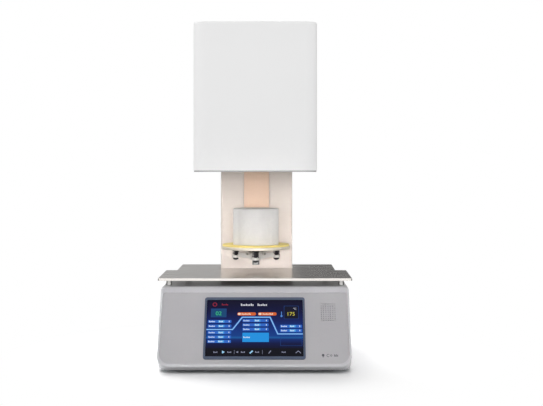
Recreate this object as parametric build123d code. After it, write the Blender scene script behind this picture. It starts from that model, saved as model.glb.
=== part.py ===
from build123d import *
import math
import os

# Dental laboratory firing furnace: a low base with a sloping control panel carries a
# work plate and a steel column, and the column carries the heating head. A lift in
# the column raises the firing pedestal on its sprung table into the head's muffle.
# Millimetres. +Z is up, the operator stands at -Y, and the origin lies on the surface
# that the feet stand on, straight below the axis of the firing pedestal.

# ------------------------------------------------------------------ shared sizes
SLIDING_GAP = 0.3
THREAD_GAP = 0.05
FAR = 500.0

# Base housing, a wedge with a leaning front that is called the fascia.
BASE_HALF_WIDTH = 150.0
BASE_FRONT_Y = -183.0
BASE_BACK_Y = 165.0
FOOT_HEIGHT = 5.0
BASE_HEIGHT = 121.0
LIP_HEIGHT = 6.0
FASCIA_LEAN = 36.0
BASE_WALL = 2.5
FASCIA_WALL = 5.0
BASE_LOWER_CORNER = 20.0
BASE_REAR_CORNER = 10.0
BASE_TOP_EDGE = 6.0
BASE_RIM_EDGE = 3.0
PAN_SHEET = 1.5
BASE_LOW = FOOT_HEIGHT
BASE_TOP = BASE_LOW + BASE_HEIGHT
PAN_TOP = BASE_LOW + PAN_SHEET
LEAN = math.radians(FASCIA_LEAN)
FASCIA = Plane(
    origin=(0, BASE_FRONT_Y, BASE_LOW + LIP_HEIGHT),
    x_dir=(1, 0, 0),
    z_dir=(0, -math.cos(LEAN), math.sin(LEAN)),
)

# Control panel, set into the fascia. Heights are measured up the slope.
PANEL_BORDER = 4.0
PANEL_LOW = 6.0
PANEL_HEIGHT = 124.0
PANEL_SHEET = 2.0
PANEL_SINK = 0.6
PANEL_LOWER_CORNER = 16.0
PANEL_UPPER_CORNER = 3.0
PANEL_LEDGE = 6.0
PANEL_HALF_WIDTH = BASE_HALF_WIDTH - PANEL_BORDER
PANEL_HIGH = PANEL_LOW + PANEL_HEIGHT

# Seven-inch touch display in its bezel.
SCREEN_CENTRE = 67.3
GLASS_WIDTH = 151.6
GLASS_HEIGHT = 98.6
GLASS_THICK = 1.1
GLASS_CORNER = 1.0
GLASS_LAP = 1.8
BEZEL_SIDE_BORDER = 3.0
BEZEL_LONG_BORDER = 4.65
BEZEL_THICK = 1.4
BEZEL_CORNER = 4.0
DISPLAY_DEPTH = 9.0
DISPLAY_BOARD_LAP = 3.0
DISPLAY_BOARD = 1.6

# Loudspeaker behind a grille of drilled holes.
GRILLE_INSET = 30.3
GRILLE_V = 95.5
GRILLE_COLUMNS = 7
GRILLE_ROWS = 9
GRILLE_PITCH = 3.6
GRILLE_HOLE = 0.9
SPEAKER_RADIUS = 15.0
SPEAKER_DEPTH = 8.0
MAGNET_RADIUS = 9.0
GRILLE_U = PANEL_HALF_WIDTH - GRILLE_INSET

# Feet, and the screws that hold foot, pan and housing together.
FOOT_SIDE_INSET = 30.0
FOOT_FRONT_INSET = 43.0
FOOT_REAR_INSET = 30.0
FOOT_RADIUS = 12.0
FOOT_TAPER = 2.0
BOSS_RADIUS = 5.0
BOSS_HEIGHT = 30.0
BOSS_RIB = 2.5
FOOT_SCREW_RADIUS = 2.0
FOOT_SCREW_HEAD = 3.8
FOOT_SCREW_HEAD_HEIGHT = 1.8
FOOT_SCREW_BITE = 12.0
FOOT_X = BASE_HALF_WIDTH - FOOT_SIDE_INSET
FOOT_FRONT_Y = BASE_FRONT_Y + FOOT_FRONT_INSET
FOOT_REAR_Y = BASE_BACK_Y - FOOT_REAR_INSET

# Work plate round the column, a folded sheet on standoffs.
PLATE_GAP = 11.0
PLATE_SHEET = 2.0
PLATE_FOLD = 4.0
PLATE_OVERHANG = 5.55
PLATE_BACK_INSET = 9.0
PLATE_SIDE_INSET = 13.4
WING_OVERHANG = 5.4
WING_SETBACK = 42.0
PLATE_CORNER = 3.0
STANDOFF_RADIUS = 4.75
STANDOFF_FRONT_INSET = 20.0
STANDOFF_REAR_INSET = 26.0
STANDOFF_FRONT_SIDE = 11.0
STANDOFF_REAR_SIDE = 26.0
STANDOFF_NECK = 0.8
BASE_TOP_FRONT_Y = BASE_FRONT_Y + (BASE_HEIGHT - LIP_HEIGHT) * math.tan(LEAN)
PLATE_TOP = BASE_TOP + PLATE_GAP + PLATE_SHEET
PLATE_FRONT_Y = BASE_TOP_FRONT_Y - PLATE_OVERHANG
PLATE_BACK_Y = BASE_BACK_Y - PLATE_BACK_INSET
PLATE_HALF_WIDTH = BASE_HALF_WIDTH - PLATE_SIDE_INSET
WING_HALF_WIDTH = BASE_HALF_WIDTH + WING_OVERHANG
STANDOFF_FRONT_X = BASE_HALF_WIDTH - STANDOFF_FRONT_SIDE
STANDOFF_REAR_X = BASE_HALF_WIDTH - STANDOFF_REAR_SIDE
STANDOFF_FRONT_Y = PLATE_FRONT_Y + STANDOFF_FRONT_INSET
STANDOFF_REAR_Y = PLATE_BACK_Y - STANDOFF_REAR_INSET

# Column, a folded steel channel that is open at the back.
COLUMN_HALF_WIDTH = 63.0
COLUMN_FRONT_Y = 81.0
COLUMN_DEPTH = 60.0
COLUMN_WALL = 2.0
COLUMN_CORNER = 3.0
COLUMN_FLANGE = 12.0
COLUMN_GAP = 0.5
COLUMN_BACK_Y = COLUMN_FRONT_Y + COLUMN_DEPTH
COLUMN_INNER = COLUMN_HALF_WIDTH - COLUMN_WALL
COLUMN_INNER_Y = COLUMN_FRONT_Y + COLUMN_WALL
WING_BACK_Y = COLUMN_FRONT_Y - WING_SETBACK
ANGLE_THICK = 3.0
ANGLE_HEIGHT = 30.0
ANGLE_FOOT = 22.0
ANGLE_WIDTH = 35.0

# Lift and sprung table, stacked up from the plate to the sealing face.
HUB_GAP = 20.5
LIFT_TRAVEL = 124.0
SEAL_STEP = 0.3
GASKET_THICK = 3.0
FLANGE_THICK = 5.0
FLANGE_CHAMFER = 0.6
SPRING_ROOM = 12.5
PAD_THICK = 4.0
ARM_RISE = 2.0
ARM_THICK = 4.5
HUB_HEIGHT = 9.0
HUB_LOW = PLATE_TOP + HUB_GAP
ARM_LOW = HUB_LOW + HUB_HEIGHT
ARM_TOP = ARM_LOW + ARM_THICK
PAD_TOP = ARM_LOW - ARM_RISE
PAD_LOW = PAD_TOP - PAD_THICK
FLANGE_LOW = PAD_TOP + SPRING_ROOM
GASKET_LOW = FLANGE_LOW + FLANGE_THICK
GASKET_TOP = GASKET_LOW + GASKET_THICK
SEAL_FACE = GASKET_TOP + SLIDING_GAP + LIFT_TRAVEL
HEAD_LOW = SEAL_FACE - SEAL_STEP

GASKET_GAP = 2.65
GASKET_WIDTH = 15.4
GASKET_EDGE = 1.7
PEDESTAL_RADIUS = 38.35
GASKET_INNER = PEDESTAL_RADIUS + GASKET_GAP
FLANGE_RADIUS = GASKET_INNER + GASKET_WIDTH + GASKET_EDGE
PEDESTAL_HEIGHT = 65.0
PEDESTAL_SEAT = 1.5
PEDESTAL_EDGE = 2.0
PEDESTAL_LOW = GASKET_LOW - PEDESTAL_SEAT

HUB_RADIUS = 8.0
RIB_WIDTH = 5.0
RIB_LOWER_RISE = 1.5
RIB_TIP = 1.9
RIB_CREST = 2.5
RIB_CREST_START = 9.5
ARM_CLEARANCE = 0.5
PAD_RADIUS = 6.25
SPRING_INSET = 18.1
SPRING_CIRCLE = FLANGE_RADIUS - SPRING_INSET
SPRING_COUNT = 3
SPRING_WIRE = 0.8
SPRING_RADIUS = 5.0
SPRING_TURNS = 4
SPRING_SEAT_GAP = 0.2
STUD_RADIUS = 2.5
STUD_GRIP = 2.0
STUD_NUT = 8.0
STUD_NUT_HEIGHT = 2.9
KNOB_RADIUS = 6.5
KNOB_HEIGHT = 8.0
KNOB_EDGE = 0.8
KNOB_FLUTES = 12
KNOB_FLUTE = 0.9
CLAMP_STUD_RADIUS = 3.0
CLAMP_NUT = 10.0
CLAMP_NUT_HEIGHT = 3.0

ARM_HALF_WIDTH = 20.0
ARM_EYE_RADIUS = 12.0
ARM_LEAF = 4.0
ARM_LEAF_HEIGHT = 17.5
BAR_HALF_WIDTH = 22.0
BAR_THICK = 4.0
BAR_PROUD = 1.0
BAR_START = 1.5
SLOT_GAP = 1.0
BAR_FRONT_Y = COLUMN_FRONT_Y - BAR_PROUD
BAR_BACK_Y = BAR_FRONT_Y + BAR_THICK
BAR_LOW = ARM_LOW + BAR_START
SLOT_HALF_WIDTH = BAR_HALF_WIDTH + SLOT_GAP
SLOT_LOW = ARM_LOW - COLUMN_GAP
CHANNEL_SHEET = 1.5
LIFT_SCREW_RADIUS = 2.0
LIFT_SCREW_HEAD = 3.5
LIFT_SCREW_HEAD_HEIGHT = 3.0
LIFT_SCREW_X = 12.0

# Lift drive inside the column: carriage, guide rods and screw.
DRIVE_SETBACK = 23.0
DRIVE_Y = COLUMN_INNER_Y + DRIVE_SETBACK
CARRIAGE_RISE = 38.0
CARRIAGE_HEIGHT = 50.0
CARRIAGE_SIDE_GAP = 15.0
CARRIAGE_HALF_DEPTH = 14.0
CARRIAGE_OVERRUN = 3.0
CARRIAGE_LOW = HEAD_LOW + CARRIAGE_RISE
CARRIAGE_TOP = CARRIAGE_LOW + CARRIAGE_HEIGHT
CARRIAGE_HALF_WIDTH = COLUMN_INNER - CARRIAGE_SIDE_GAP
CARRIAGE_FRONT_Y = DRIVE_Y - CARRIAGE_HALF_DEPTH
CARRIAGE_BACK_Y = DRIVE_Y + CARRIAGE_HALF_DEPTH
ROD_INSET = 12.0
ROD_X = CARRIAGE_HALF_WIDTH - ROD_INSET
ROD_RADIUS = 5.0
ROD_BLOCK = 12.0
ROD_BLOCK_RISE = 10.0
BUSH_WALL = 3.0
BUSH_GAP = 0.15
BUSH_LENGTH = 20.0
ROD_BLOCK_LOW = HEAD_LOW + ROD_BLOCK_RISE
TOP_BLOCK_LOW = CARRIAGE_TOP + LIFT_TRAVEL + CARRIAGE_OVERRUN
COLUMN_TOP = TOP_BLOCK_LOW + ROD_BLOCK
SCREW_RADIUS = 5.0
SCREW_END_GAP = 2.0
NUT_RADIUS = 11.0
NUT_FLANGE_RADIUS = 17.0
NUT_FLANGE = 4.0
NUT_LENGTH = 26.0
MOTOR_HALF_WIDTH = 21.0
MOTOR_LENGTH = 48.0
MOTOR_GAP = 7.5
MOTOR_SHAFT_RADIUS = 2.5
MOTOR_BRACKET = 4.0
MOTOR_LOW = PAN_TOP + MOTOR_GAP
MOTOR_TOP = MOTOR_LOW + MOTOR_LENGTH
BRACKET_TOP = MOTOR_TOP + MOTOR_BRACKET
COUPLING_RADIUS = 10.0
COUPLING_LENGTH = 25.0
COUPLING_RISE = 8.0
COUPLING_LOW = BRACKET_TOP + COUPLING_RISE
COUPLING_TOP = COUPLING_LOW + COUPLING_LENGTH
COUPLING_MIDDLE = COUPLING_LOW + 11.0
THRUST_BLOCK = 12.0
THRUST_RISE = 5.0
THRUST_LOW = COUPLING_TOP + THRUST_RISE
THRUST_TOP = THRUST_LOW + THRUST_BLOCK
COLLAR_RADIUS = 8.0
COLLAR_HEIGHT = 4.0

# Head casing.
HEAD_HALF_WIDTH = 100.0
HEAD_FRONT_Y = -HEAD_HALF_WIDTH
HEAD_BACK_GAP = 9.0
HEAD_BACK_Y = COLUMN_BACK_Y + HEAD_BACK_GAP
HEADROOM = 12.7
HEAD_WALL = 2.5
HEAD_CORNER = 20.0
HEAD_TOP_EDGE = 3.0
HEAD_LIP = 2.0
HEAD_LIP_WIDTH = 10.0
FLOOR_THICK = 3.0
TRIM_SHEET = 2.0
TRIM_INSET = 1.0
TRIM_LAP = 1.5
TRIM_NOTCH_GAP = 1.5
FLOOR_GAP = 0.5
COLUMN_HOLE_GAP = 1.5
HEAD_TOP = COLUMN_TOP + HEADROOM
FLOOR_LOW = HEAD_LOW + HEAD_LIP
FLOOR_TOP = FLOOR_LOW + FLOOR_THICK
TRIM_LOW = HEAD_LOW - TRIM_SHEET
REAR_OPENING_INSET = 26.5
REAR_OPENING_HALF = HEAD_HALF_WIDTH - REAR_OPENING_INSET
REAR_OPENING_MARGIN = 18.0
COVER_LAP = 7.0
COVER_SHEET = 1.5
COVER_SLOT = 3.0
COVER_SLOT_PITCH = 8.0
COVER_SLOT_HALF = 26.0
COVER_SLOT_ROWS = 9
SCREW_HEAD_RADIUS = 3.0
SCREW_HEAD_HEIGHT = 2.0
SCREW_SHANK_RADIUS = 1.5
SCREW_LENGTH = 6.0
RECESS_WIDTH = 0.8
RECESS_DEPTH = 1.0

# Firing chamber in the head.
CHAMBER_GAP = 5.65
SEAT_LAP = 4.15
SEAT_SPIGOT = 2.0
LINER_RADIUS = PEDESTAL_RADIUS + CHAMBER_GAP
LINER_WALL = 2.5
SEAT_BORE_RADIUS = LINER_RADIUS
SEAT_FLANGE_RADIUS = FLANGE_RADIUS + SEAT_LAP
CHAMBER_HEIGHT = 123.0
ROOF_THICK = 30.0
CASE_HEIGHT = CHAMBER_HEIGHT + ROOF_THICK
CASE_SIDE_GAP = 6.0
CASE_BACK_GAP = 3.5
CASE_WALL = 1.2
CASE_CORNER = 12.0
CASE_HALF_WIDTH = HEAD_HALF_WIDTH - HEAD_WALL - CASE_SIDE_GAP
CASE_BACK_Y = BAR_FRONT_Y - CASE_BACK_GAP
INSULATION_GAP = 0.3
CHAMBER_TOP = FLOOR_TOP + CHAMBER_HEIGHT
CASE_TOP = FLOOR_TOP + CASE_HEIGHT
LINER_LOW = FLOOR_TOP + SEAT_SPIGOT
HEATER_WIRE = 1.25
HEATER_TURNS = 11.5
HEATER_GAP = 1.3
HEATER_RISE = 9.0
HEATER_TOP_GAP = 10.5
HEATER_PITCH = (CHAMBER_HEIGHT - HEATER_RISE - HEATER_TOP_GAP) / HEATER_TURNS
HEATER_LOW = FLOOR_TOP + HEATER_RISE
BORE_RADIUS = LINER_RADIUS + LINER_WALL + HEATER_GAP + 2 * HEATER_WIRE + INSULATION_GAP
HEATER_RADIUS = BORE_RADIUS - INSULATION_GAP - HEATER_WIRE
LUG_WIDTH = 4.0
LUG_DEPTH = 6.5
LEAD_RADIUS = 1.5
LEAD_PROUD = 8.0
GROOVE_GAP = 1.5
COUPLE_RADIUS = 2.5
COUPLE_REACH = 22.0
COUPLE_HEAD_RADIUS = 9.0
COUPLE_HEAD_HEIGHT = 14.0

# Vacuum line from the muffle down the column to the port at the back.
HOSE_RADIUS = 3.5
HOSE_BORE = 2.0
HOSE_WALL_GAP = 3.0
ELBOW_X = -30.0
ELBOW_Y = 10.0
ELBOW_RISE = 16.0
ELBOW_REACH = 12.0
HOSE_FIRST_RUN = 22.0
HOSE_BACK_GAP = 10.0
HOSE_DOWN_Y = COLUMN_BACK_Y - HOSE_BACK_GAP
PORT_Z = 60.0
PORT_RADIUS = 4.0
PORT_BORE = 2.5
PORT_THREAD = 5.0
PORT_FLANGE_RADIUS = 8.0
PORT_FLANGE = 4.0
PORT_LENGTH = 16.8
PORT_NUT = 14.0
PORT_NUT_THICK = 3.0
PORT_STEM = 4.5
HOSE_X = -(COLUMN_INNER - HOSE_RADIUS - HOSE_WALL_GAP)
HOSE_Z = CASE_TOP + ELBOW_RISE
HOSE_HOLE_RADIUS = HOSE_RADIUS + 2.0
BASE_INNER_BACK = BASE_BACK_Y - BASE_WALL
PORT_INNER_Y = BASE_INNER_BACK - PORT_STEM

# Electrics in the base.
SUPPLY_WIDTH = 65.0
SUPPLY_LENGTH = 100.0
SUPPLY_HEIGHT = 37.5
SUPPLY_FRONT_Y = -40.0
SUPPLY_SIDE_GAP = 7.5
SUPPLY_INNER_X = BASE_HALF_WIDTH - BASE_WALL - SUPPLY_SIDE_GAP - SUPPLY_WIDTH
FIN_COUNT = 9
FIN_THICK = 2.0
SINK_FLOOR = 5.0
BOARD_SIDE_GAP = 15.0
BOARD_HALF_WIDTH = SUPPLY_INNER_X - BOARD_SIDE_GAP
BOARD_FRONT_Y = -100.0
BOARD_LENGTH = 120.0
BOARD_SHEET = 1.6
BOARD_POST = 6.5
POST_RADIUS = 3.0
POST_INSET = 6.0
BOARD_LOW = PAN_TOP + BOARD_POST
BOARD_TOP = BOARD_LOW + BOARD_SHEET
BOARD_MARGIN = 20.0
TRANSFORMER_WIDTH = 28.0
TRANSFORMER_DEPTH = 30.0
TRANSFORMER_HEIGHT = 24.0
RELAY_COUNT = 3
RELAY_PITCH = 16.0
RELAY_WIDTH = 12.0
RELAY_DEPTH = 28.0
RELAY_HEIGHT = 15.0
PLUG_COUNT = 4
PLUG_PITCH = 24.0
PLUG_WIDTH = 14.0
PLUG_DEPTH = 7.0
PLUG_HEIGHT = 9.0
PLUG_INSET = 8.0
CHIP_WIDTH = 18.0
CHIP_HEIGHT = 2.0
CAPACITOR_COUNT = 2
CAPACITOR_PITCH = 16.0
CAPACITOR_RADIUS = 6.0
CAPACITOR_HEIGHT = 20.0

# Fittings in the back wall.
FAN_SIDE_INSET = 50.0
FAN_X = BASE_HALF_WIDTH - FAN_SIDE_INSET
FAN_Z = 70.0
FAN_HALF = 25.0
FAN_DEPTH = 15.0
FAN_RIM = 2.0
FAN_BORE = FAN_HALF - FAN_RIM
FAN_HUB = 10.0
FAN_BLADES = 7
FAN_BLADE_THICK = 1.5
FAN_BLADE_PITCH = 35.0
FAN_BLADE_CHORD = 8.0
FAN_TIP_GAP = 0.8
FAN_STRUT = 2.0
FAN_AXLE = 1.5
FAN_SLOT = 3.0
FAN_SLOT_PITCH = 6.0
FAN_SLOT_ROWS = 7
FITTING_Z = 35.0
INLET_SIDE_INSET = 50.0
INLET_X = INLET_SIDE_INSET - BASE_HALF_WIDTH
INLET_HALF_WIDTH = 13.5
INLET_HALF_HEIGHT = 9.75
INLET_FLANGE_LAP = 1.5
INLET_EAR = 11.5
INLET_FLANGE_HALF = INLET_HALF_WIDTH + INLET_EAR
INLET_FLANGE_HALF_HEIGHT = INLET_HALF_HEIGHT + INLET_FLANGE_LAP
INLET_FLANGE = 2.5
INLET_WALL = 1.5
INLET_DEPTH = 16.0
INLET_FLOOR = 3.0
INLET_CORNER = 5.0
INLET_PIN_SPACING = 7.0
INLET_PIN_LENGTH = 10.5
INLET_SCREW_INSET = 5.0
INLET_SCREW_X = INLET_FLANGE_HALF - INLET_SCREW_INSET
SWITCH_SPACING = 40.0
SWITCH_X = INLET_X + SWITCH_SPACING
SWITCH_HALF_WIDTH = 6.5
SWITCH_HALF_HEIGHT = 9.7
SWITCH_FLANGE_LAP = 1.2
SWITCH_FLANGE = 1.8
SWITCH_DEPTH = 12.0
SWITCH_WALL = 1.2
ROCKER_TILT = 10.0
ROCKER_CREST = 4.0
ROCKER_VALLEY = 3.0
ROCKER_TAIL = 4.0
ROCKER_GAP = 0.3
ROCKER_PIN = 0.9
ROCKER_INSET = 1.5
FUSE_STEP = 39.0
FUSE_X = SWITCH_X + FUSE_STEP
FUSE_SPACING = 18.0
FUSE_BODY = 5.3
FUSE_CAP = 6.5
FUSE_CAP_HEIGHT = 9.0
FUSE_DEPTH = 16.0
FUSE_SLOT = 1.4

REAR = Rot(-90, 0, 0)


# ------------------------------------------------------------------ basic shapes
def block(x0, x1, y0, y1, z0, z1):
    """A box between two corners."""
    middle = Pos((x0 + x1) / 2, (y0 + y1) / 2, (z0 + z1) / 2)
    return middle * Box(x1 - x0, y1 - y0, z1 - z0)


def rod(radius, z0, z1, x=0, y=0):
    """A round rod along Z."""
    return Pos(x, y, (z0 + z1) / 2) * Cylinder(radius, z1 - z0)


def rear_rod(radius, y0, y1, x, z):
    """A round rod along Y."""
    return Pos(x, (y0 + y1) / 2, z) * REAR * Cylinder(radius, y1 - y0)


def hex_nut(across_flats, bore, z0, z1, x=0, y=0):
    """A hexagon nut along Z."""
    outline = RegularPolygon(across_flats / 2, 6, major_radius=False)
    return extrude(Pos(x, y, z0) * outline, z1 - z0) - rod(bore, z0, z1, x, y)


def mirrored(shape):
    """The shape and its mirror image on the other side of the machine."""
    return [shape, mirror(shape, about=Plane.YZ)]


def panel_outline(half_width, low, high, lower_corner, upper_corner):
    """A rectangle in fascia coordinates whose lower and upper corners differ."""
    outline = Pos(0, (low + high) / 2) * Rectangle(2 * half_width, high - low)
    outline = fillet(outline.vertices().group_by(Axis.Y)[0], lower_corner)
    if upper_corner > 0:
        outline = fillet(outline.vertices().group_by(Axis.Y)[-1], upper_corner)
    return outline


def fascia_solid(outline, depth, top=0.0):
    """An outline sunk into the fascia, from the depth of its top face downwards."""
    return extrude(FASCIA.offset(-top) * outline, -depth)


def slots(rows, pitch, half_length, width, z, y0, y1):
    """Rows of horizontal slots through a wall at the back, centred on a height."""
    made = []
    for row in range(rows):
        height = z + (row - (rows - 1) / 2) * pitch
        reach = half_length(height - z)
        made.append(block(-reach, reach, y0, y1, height - width / 2, height + width / 2))
    return made


def pan_screw(head_radius, head_height, shank_radius, length):
    """A pan-head screw with a cross recess: its head rises from z = 0."""
    head = rod(head_radius, 0, head_height)
    head = fillet(head.faces().sort_by(Axis.Z)[-1].edges(), head_height * 0.4)
    arm = head_radius * 0.6
    for turn in (0, 90):
        recess = block(-arm, arm, -RECESS_WIDTH / 2, RECESS_WIDTH / 2, 0, RECESS_DEPTH)
        head -= Pos(0, 0, head_height - RECESS_DEPTH) * Rot(0, 0, turn) * recess
    return head + rod(shank_radius, -length, 0)


# ------------------------------------------------------------------ wound wire
def helix_point(radius, pitch, low, angle):
    """A point of a helix about Z and its unit tangent there."""
    point = Vector(radius * math.cos(angle), radius * math.sin(angle), low + pitch * angle / math.tau)
    along = Vector(-radius * math.sin(angle), radius * math.cos(angle), pitch / math.tau)
    return point, along.normalized()


def biarc(start, start_along, end, end_along):
    """Two tangent arcs that join two points with their tangents."""
    span = end - start
    both = start_along + end_along
    spread = 2 * (1 - start_along.dot(end_along))
    lean = span.dot(both)
    reach = (math.sqrt(lean * lean + spread * span.dot(span)) - lean) / spread
    joint = (start + end + (start_along - end_along) * reach) * 0.5
    across = (end - end_along * reach) - (start + start_along * reach)
    first = Edge.make_tangent_arc(start, start_along, joint)
    second = Edge.make_tangent_arc(joint, across.normalized(), end)
    return [first, second]


def wound_wire(wire, radius, pitch, turns, low):
    """A round wire wound into a coil, with a straight end of one diameter each way."""
    quarter = math.pi / 2
    steps = round(turns * 4)
    first, first_along = helix_point(radius, pitch, low, 0)
    last, last_along = helix_point(radius, pitch, low, steps * quarter)
    edges = [Edge.make_line(first - first_along * (2 * wire), first)]
    for step in range(steps):
        here, here_along = helix_point(radius, pitch, low, step * quarter)
        there, there_along = helix_point(radius, pitch, low, (step + 1) * quarter)
        edges += biarc(here, here_along, there, there_along)
    edges.append(Edge.make_line(last, last + last_along * (2 * wire)))
    path = Wire(edges)
    coil = sweep(Plane(path @ 0, z_dir=path % 0) * Circle(wire), path)
    expected = path.length * math.pi * wire * wire
    gap = least_turn_gap(path, wire, turns)
    print("coil", radius, "turns", turns, "gap", round(gap, 2), "volume", round(coil.volume / expected, 4))
    return coil


def least_turn_gap(path, wire, turns):
    """The least gap between neighbouring turns, measured on points of the path."""
    count = round(turns * 24)
    points = [path @ (n / count) for n in range(count + 1)]
    gaps = []
    for n, point in enumerate(points):
        for other in points[n + 18:]:
            gaps.append((other - point).length - 2 * wire)
    return min(gaps)


# ------------------------------------------------------------------ base
def base_block(wall, fascia_wall, low):
    """The wedge of the base, with its faces set in by the walls."""
    corner = BASE_LOWER_CORNER - wall
    front = panel_outline(BASE_HALF_WIDTH - wall, wall, FAR, corner, 0)
    wedge = fascia_solid(front, FAR, fascia_wall)
    room = block(-FAR, FAR, -FAR, BASE_BACK_Y - wall, low, BASE_TOP - wall)
    wedge = wedge & room
    rear = wedge.edges().filter_by(Axis.Z).group_by(Axis.Y)[-1]
    return fillet(rear, BASE_REAR_CORNER - wall)


def foot_places():
    """The four places where a foot, its screw and its boss stand."""
    return [(x, y) for x in (-FOOT_X, FOOT_X) for y in (FOOT_FRONT_Y, FOOT_REAR_Y)]


def base_housing():
    """The moulded shell of the base, open below, with its screw bosses and cut-outs."""
    shell = base_block(0, 0, BASE_LOW)
    shell = fillet(shell.faces().sort_by(Axis.Z)[-1].edges(), BASE_TOP_EDGE)
    front = shell.faces().sort_by(Axis(FASCIA.origin, FASCIA.z_dir))[-1]
    rim = front.edges().sort_by(Axis.Z)[:-1]
    shell = fillet(rim, BASE_RIM_EDGE)
    cavity = base_block(BASE_WALL, FASCIA_WALL, BASE_LOW - 1)
    cavity = fillet(cavity.faces().sort_by(Axis.Z)[-1].edges(), BASE_TOP_EDGE - BASE_WALL)
    shell -= cavity
    for x, y in foot_places():
        wall = math.copysign(BASE_HALF_WIDTH - BASE_WALL / 2, x)
        x0, x1 = sorted((x, wall))
        boss = rod(BOSS_RADIUS, PAN_TOP, PAN_TOP + BOSS_HEIGHT, x, y)
        half = BOSS_RIB / 2
        shell += boss + block(x0, x1, y - half, y + half, PAN_TOP, PAN_TOP + BOSS_HEIGHT)
    for x, y in foot_places():
        bore = FOOT_SCREW_RADIUS + THREAD_GAP
        shell -= rod(bore, BASE_LOW, PAN_TOP + FOOT_SCREW_BITE + 1, x, y)
    shell -= fascia_solid(fitted_panel(SLIDING_GAP), PANEL_SINK + PANEL_SHEET)
    shell -= fascia_solid(fitted_panel(-PANEL_LEDGE), 2 * FASCIA_WALL)
    shell -= column_room(COLUMN_GAP, BASE_TOP - 2 * BASE_WALL, BASE_TOP + 1)
    return shell - rear_cuts()


def column_room(gap, z0, z1):
    """The space that the column takes, grown by a gap."""
    half = COLUMN_HALF_WIDTH + gap
    return block(-half, half, COLUMN_FRONT_Y - gap, COLUMN_BACK_Y + gap, z0, z1)


def rear_cuts():
    """The holes in the back wall for the fan, socket, switch, fuses and vacuum port."""
    y0, y1 = BASE_INNER_BACK - 1, BASE_BACK_Y + 1
    reach = FAN_BORE - 1

    def chord(height):
        return math.sqrt(reach * reach - height * height)

    vents = slots(FAN_SLOT_ROWS, FAN_SLOT_PITCH, chord, FAN_SLOT, FAN_Z, y0, y1)
    cuts = [Pos(FAN_X, 0, 0) * vent for vent in vents]
    cuts.append(wall_window(INLET_X, INLET_HALF_WIDTH, INLET_HALF_HEIGHT, y0, y1))
    cuts.append(wall_window(SWITCH_X, SWITCH_HALF_WIDTH, SWITCH_HALF_HEIGHT, y0, y1))
    cuts += [rear_rod(FUSE_BODY + SLIDING_GAP, y0, y1, x, FITTING_Z) for x in fuse_places()]
    cuts.append(rear_rod(PORT_THREAD + SLIDING_GAP, y0, y1, HOSE_X, PORT_Z))
    for side in (-1, 1):
        place = INLET_X + side * INLET_SCREW_X
        cuts.append(rear_rod(SCREW_SHANK_RADIUS + THREAD_GAP, y0, y1, place, FITTING_Z))
    return cuts


def wall_window(x, half_width, half_height, y0, y1):
    """A rectangular window in the back wall, a little larger than what it takes."""
    width = half_width + SLIDING_GAP
    height = half_height + SLIDING_GAP
    return block(x - width, x + width, y0, y1, FITTING_Z - height, FITTING_Z + height)


def fitted_panel(gap):
    """The outline of the control panel, grown or shrunk by a gap."""
    return panel_outline(
        PANEL_HALF_WIDTH + gap,
        PANEL_LOW - gap,
        PANEL_HIGH + gap,
        PANEL_LOWER_CORNER + gap,
        max(PANEL_UPPER_CORNER + gap, 1.0),
    )


def screen_outline(border, long_border=None, corner=GLASS_CORNER):
    """A rectangle round the glass of the display, in fascia coordinates."""
    tall = border if long_border is None else long_border
    outline = RectangleRounded(GLASS_WIDTH + 2 * border, GLASS_HEIGHT + 2 * tall, corner)
    return Pos(0, SCREEN_CENTRE) * outline


def control_panel():
    """The painted front panel with its display window and loudspeaker grille."""
    panel = fascia_solid(fitted_panel(0), PANEL_SHEET, PANEL_SINK)
    panel -= fascia_solid(screen_outline(-GLASS_LAP), 2 * PANEL_SHEET, 0)
    holes = []
    for column in range(GRILLE_COLUMNS):
        for row in range(GRILLE_ROWS):
            u = GRILLE_U + (column - (GRILLE_COLUMNS - 1) / 2) * GRILLE_PITCH
            v = GRILLE_V + (row - (GRILLE_ROWS - 1) / 2) * GRILLE_PITCH
            hole = Pos(u, v) * Circle(GRILLE_HOLE)
            holes.append(fascia_solid(hole, 2 * PANEL_SHEET, 0))
    return panel - holes


def display_bezel():
    """The raised frame round the display."""
    raised = -(BEZEL_THICK - PANEL_SINK)
    frame = screen_outline(BEZEL_SIDE_BORDER + SLIDING_GAP, BEZEL_LONG_BORDER + SLIDING_GAP, BEZEL_CORNER)
    bezel = fascia_solid(frame, BEZEL_THICK, raised)
    top = bezel.faces().sort_by(Axis(FASCIA.origin, FASCIA.z_dir))[-1]
    bezel = chamfer(top.outer_wire().edges(), BEZEL_THICK / 3)
    return bezel - fascia_solid(screen_outline(SLIDING_GAP / 2), 2 * BEZEL_THICK, raised - 0.1)


def touch_glass():
    """The cover glass of the display, lying on the panel inside the bezel."""
    return fascia_solid(screen_outline(0), GLASS_THICK, PANEL_SINK - GLASS_THICK)


def lcd_module():
    """The display behind the glass, with its circuit board on the panel's back."""
    window = screen_outline(-GLASS_LAP - SLIDING_GAP)
    module = fascia_solid(window, DISPLAY_DEPTH, PANEL_SINK)
    board = screen_outline(DISPLAY_BOARD_LAP - GLASS_LAP)
    return module + fascia_solid(board, DISPLAY_BOARD, PANEL_SINK + PANEL_SHEET)


def speaker():
    """The loudspeaker behind the grille."""
    place = Pos(GRILLE_U, GRILLE_V)
    top = PANEL_SINK + PANEL_SHEET
    basket = fascia_solid(place * Circle(SPEAKER_RADIUS), SPEAKER_DEPTH / 2, top)
    return basket + fascia_solid(place * Circle(MAGNET_RADIUS), SPEAKER_DEPTH, top)


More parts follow.
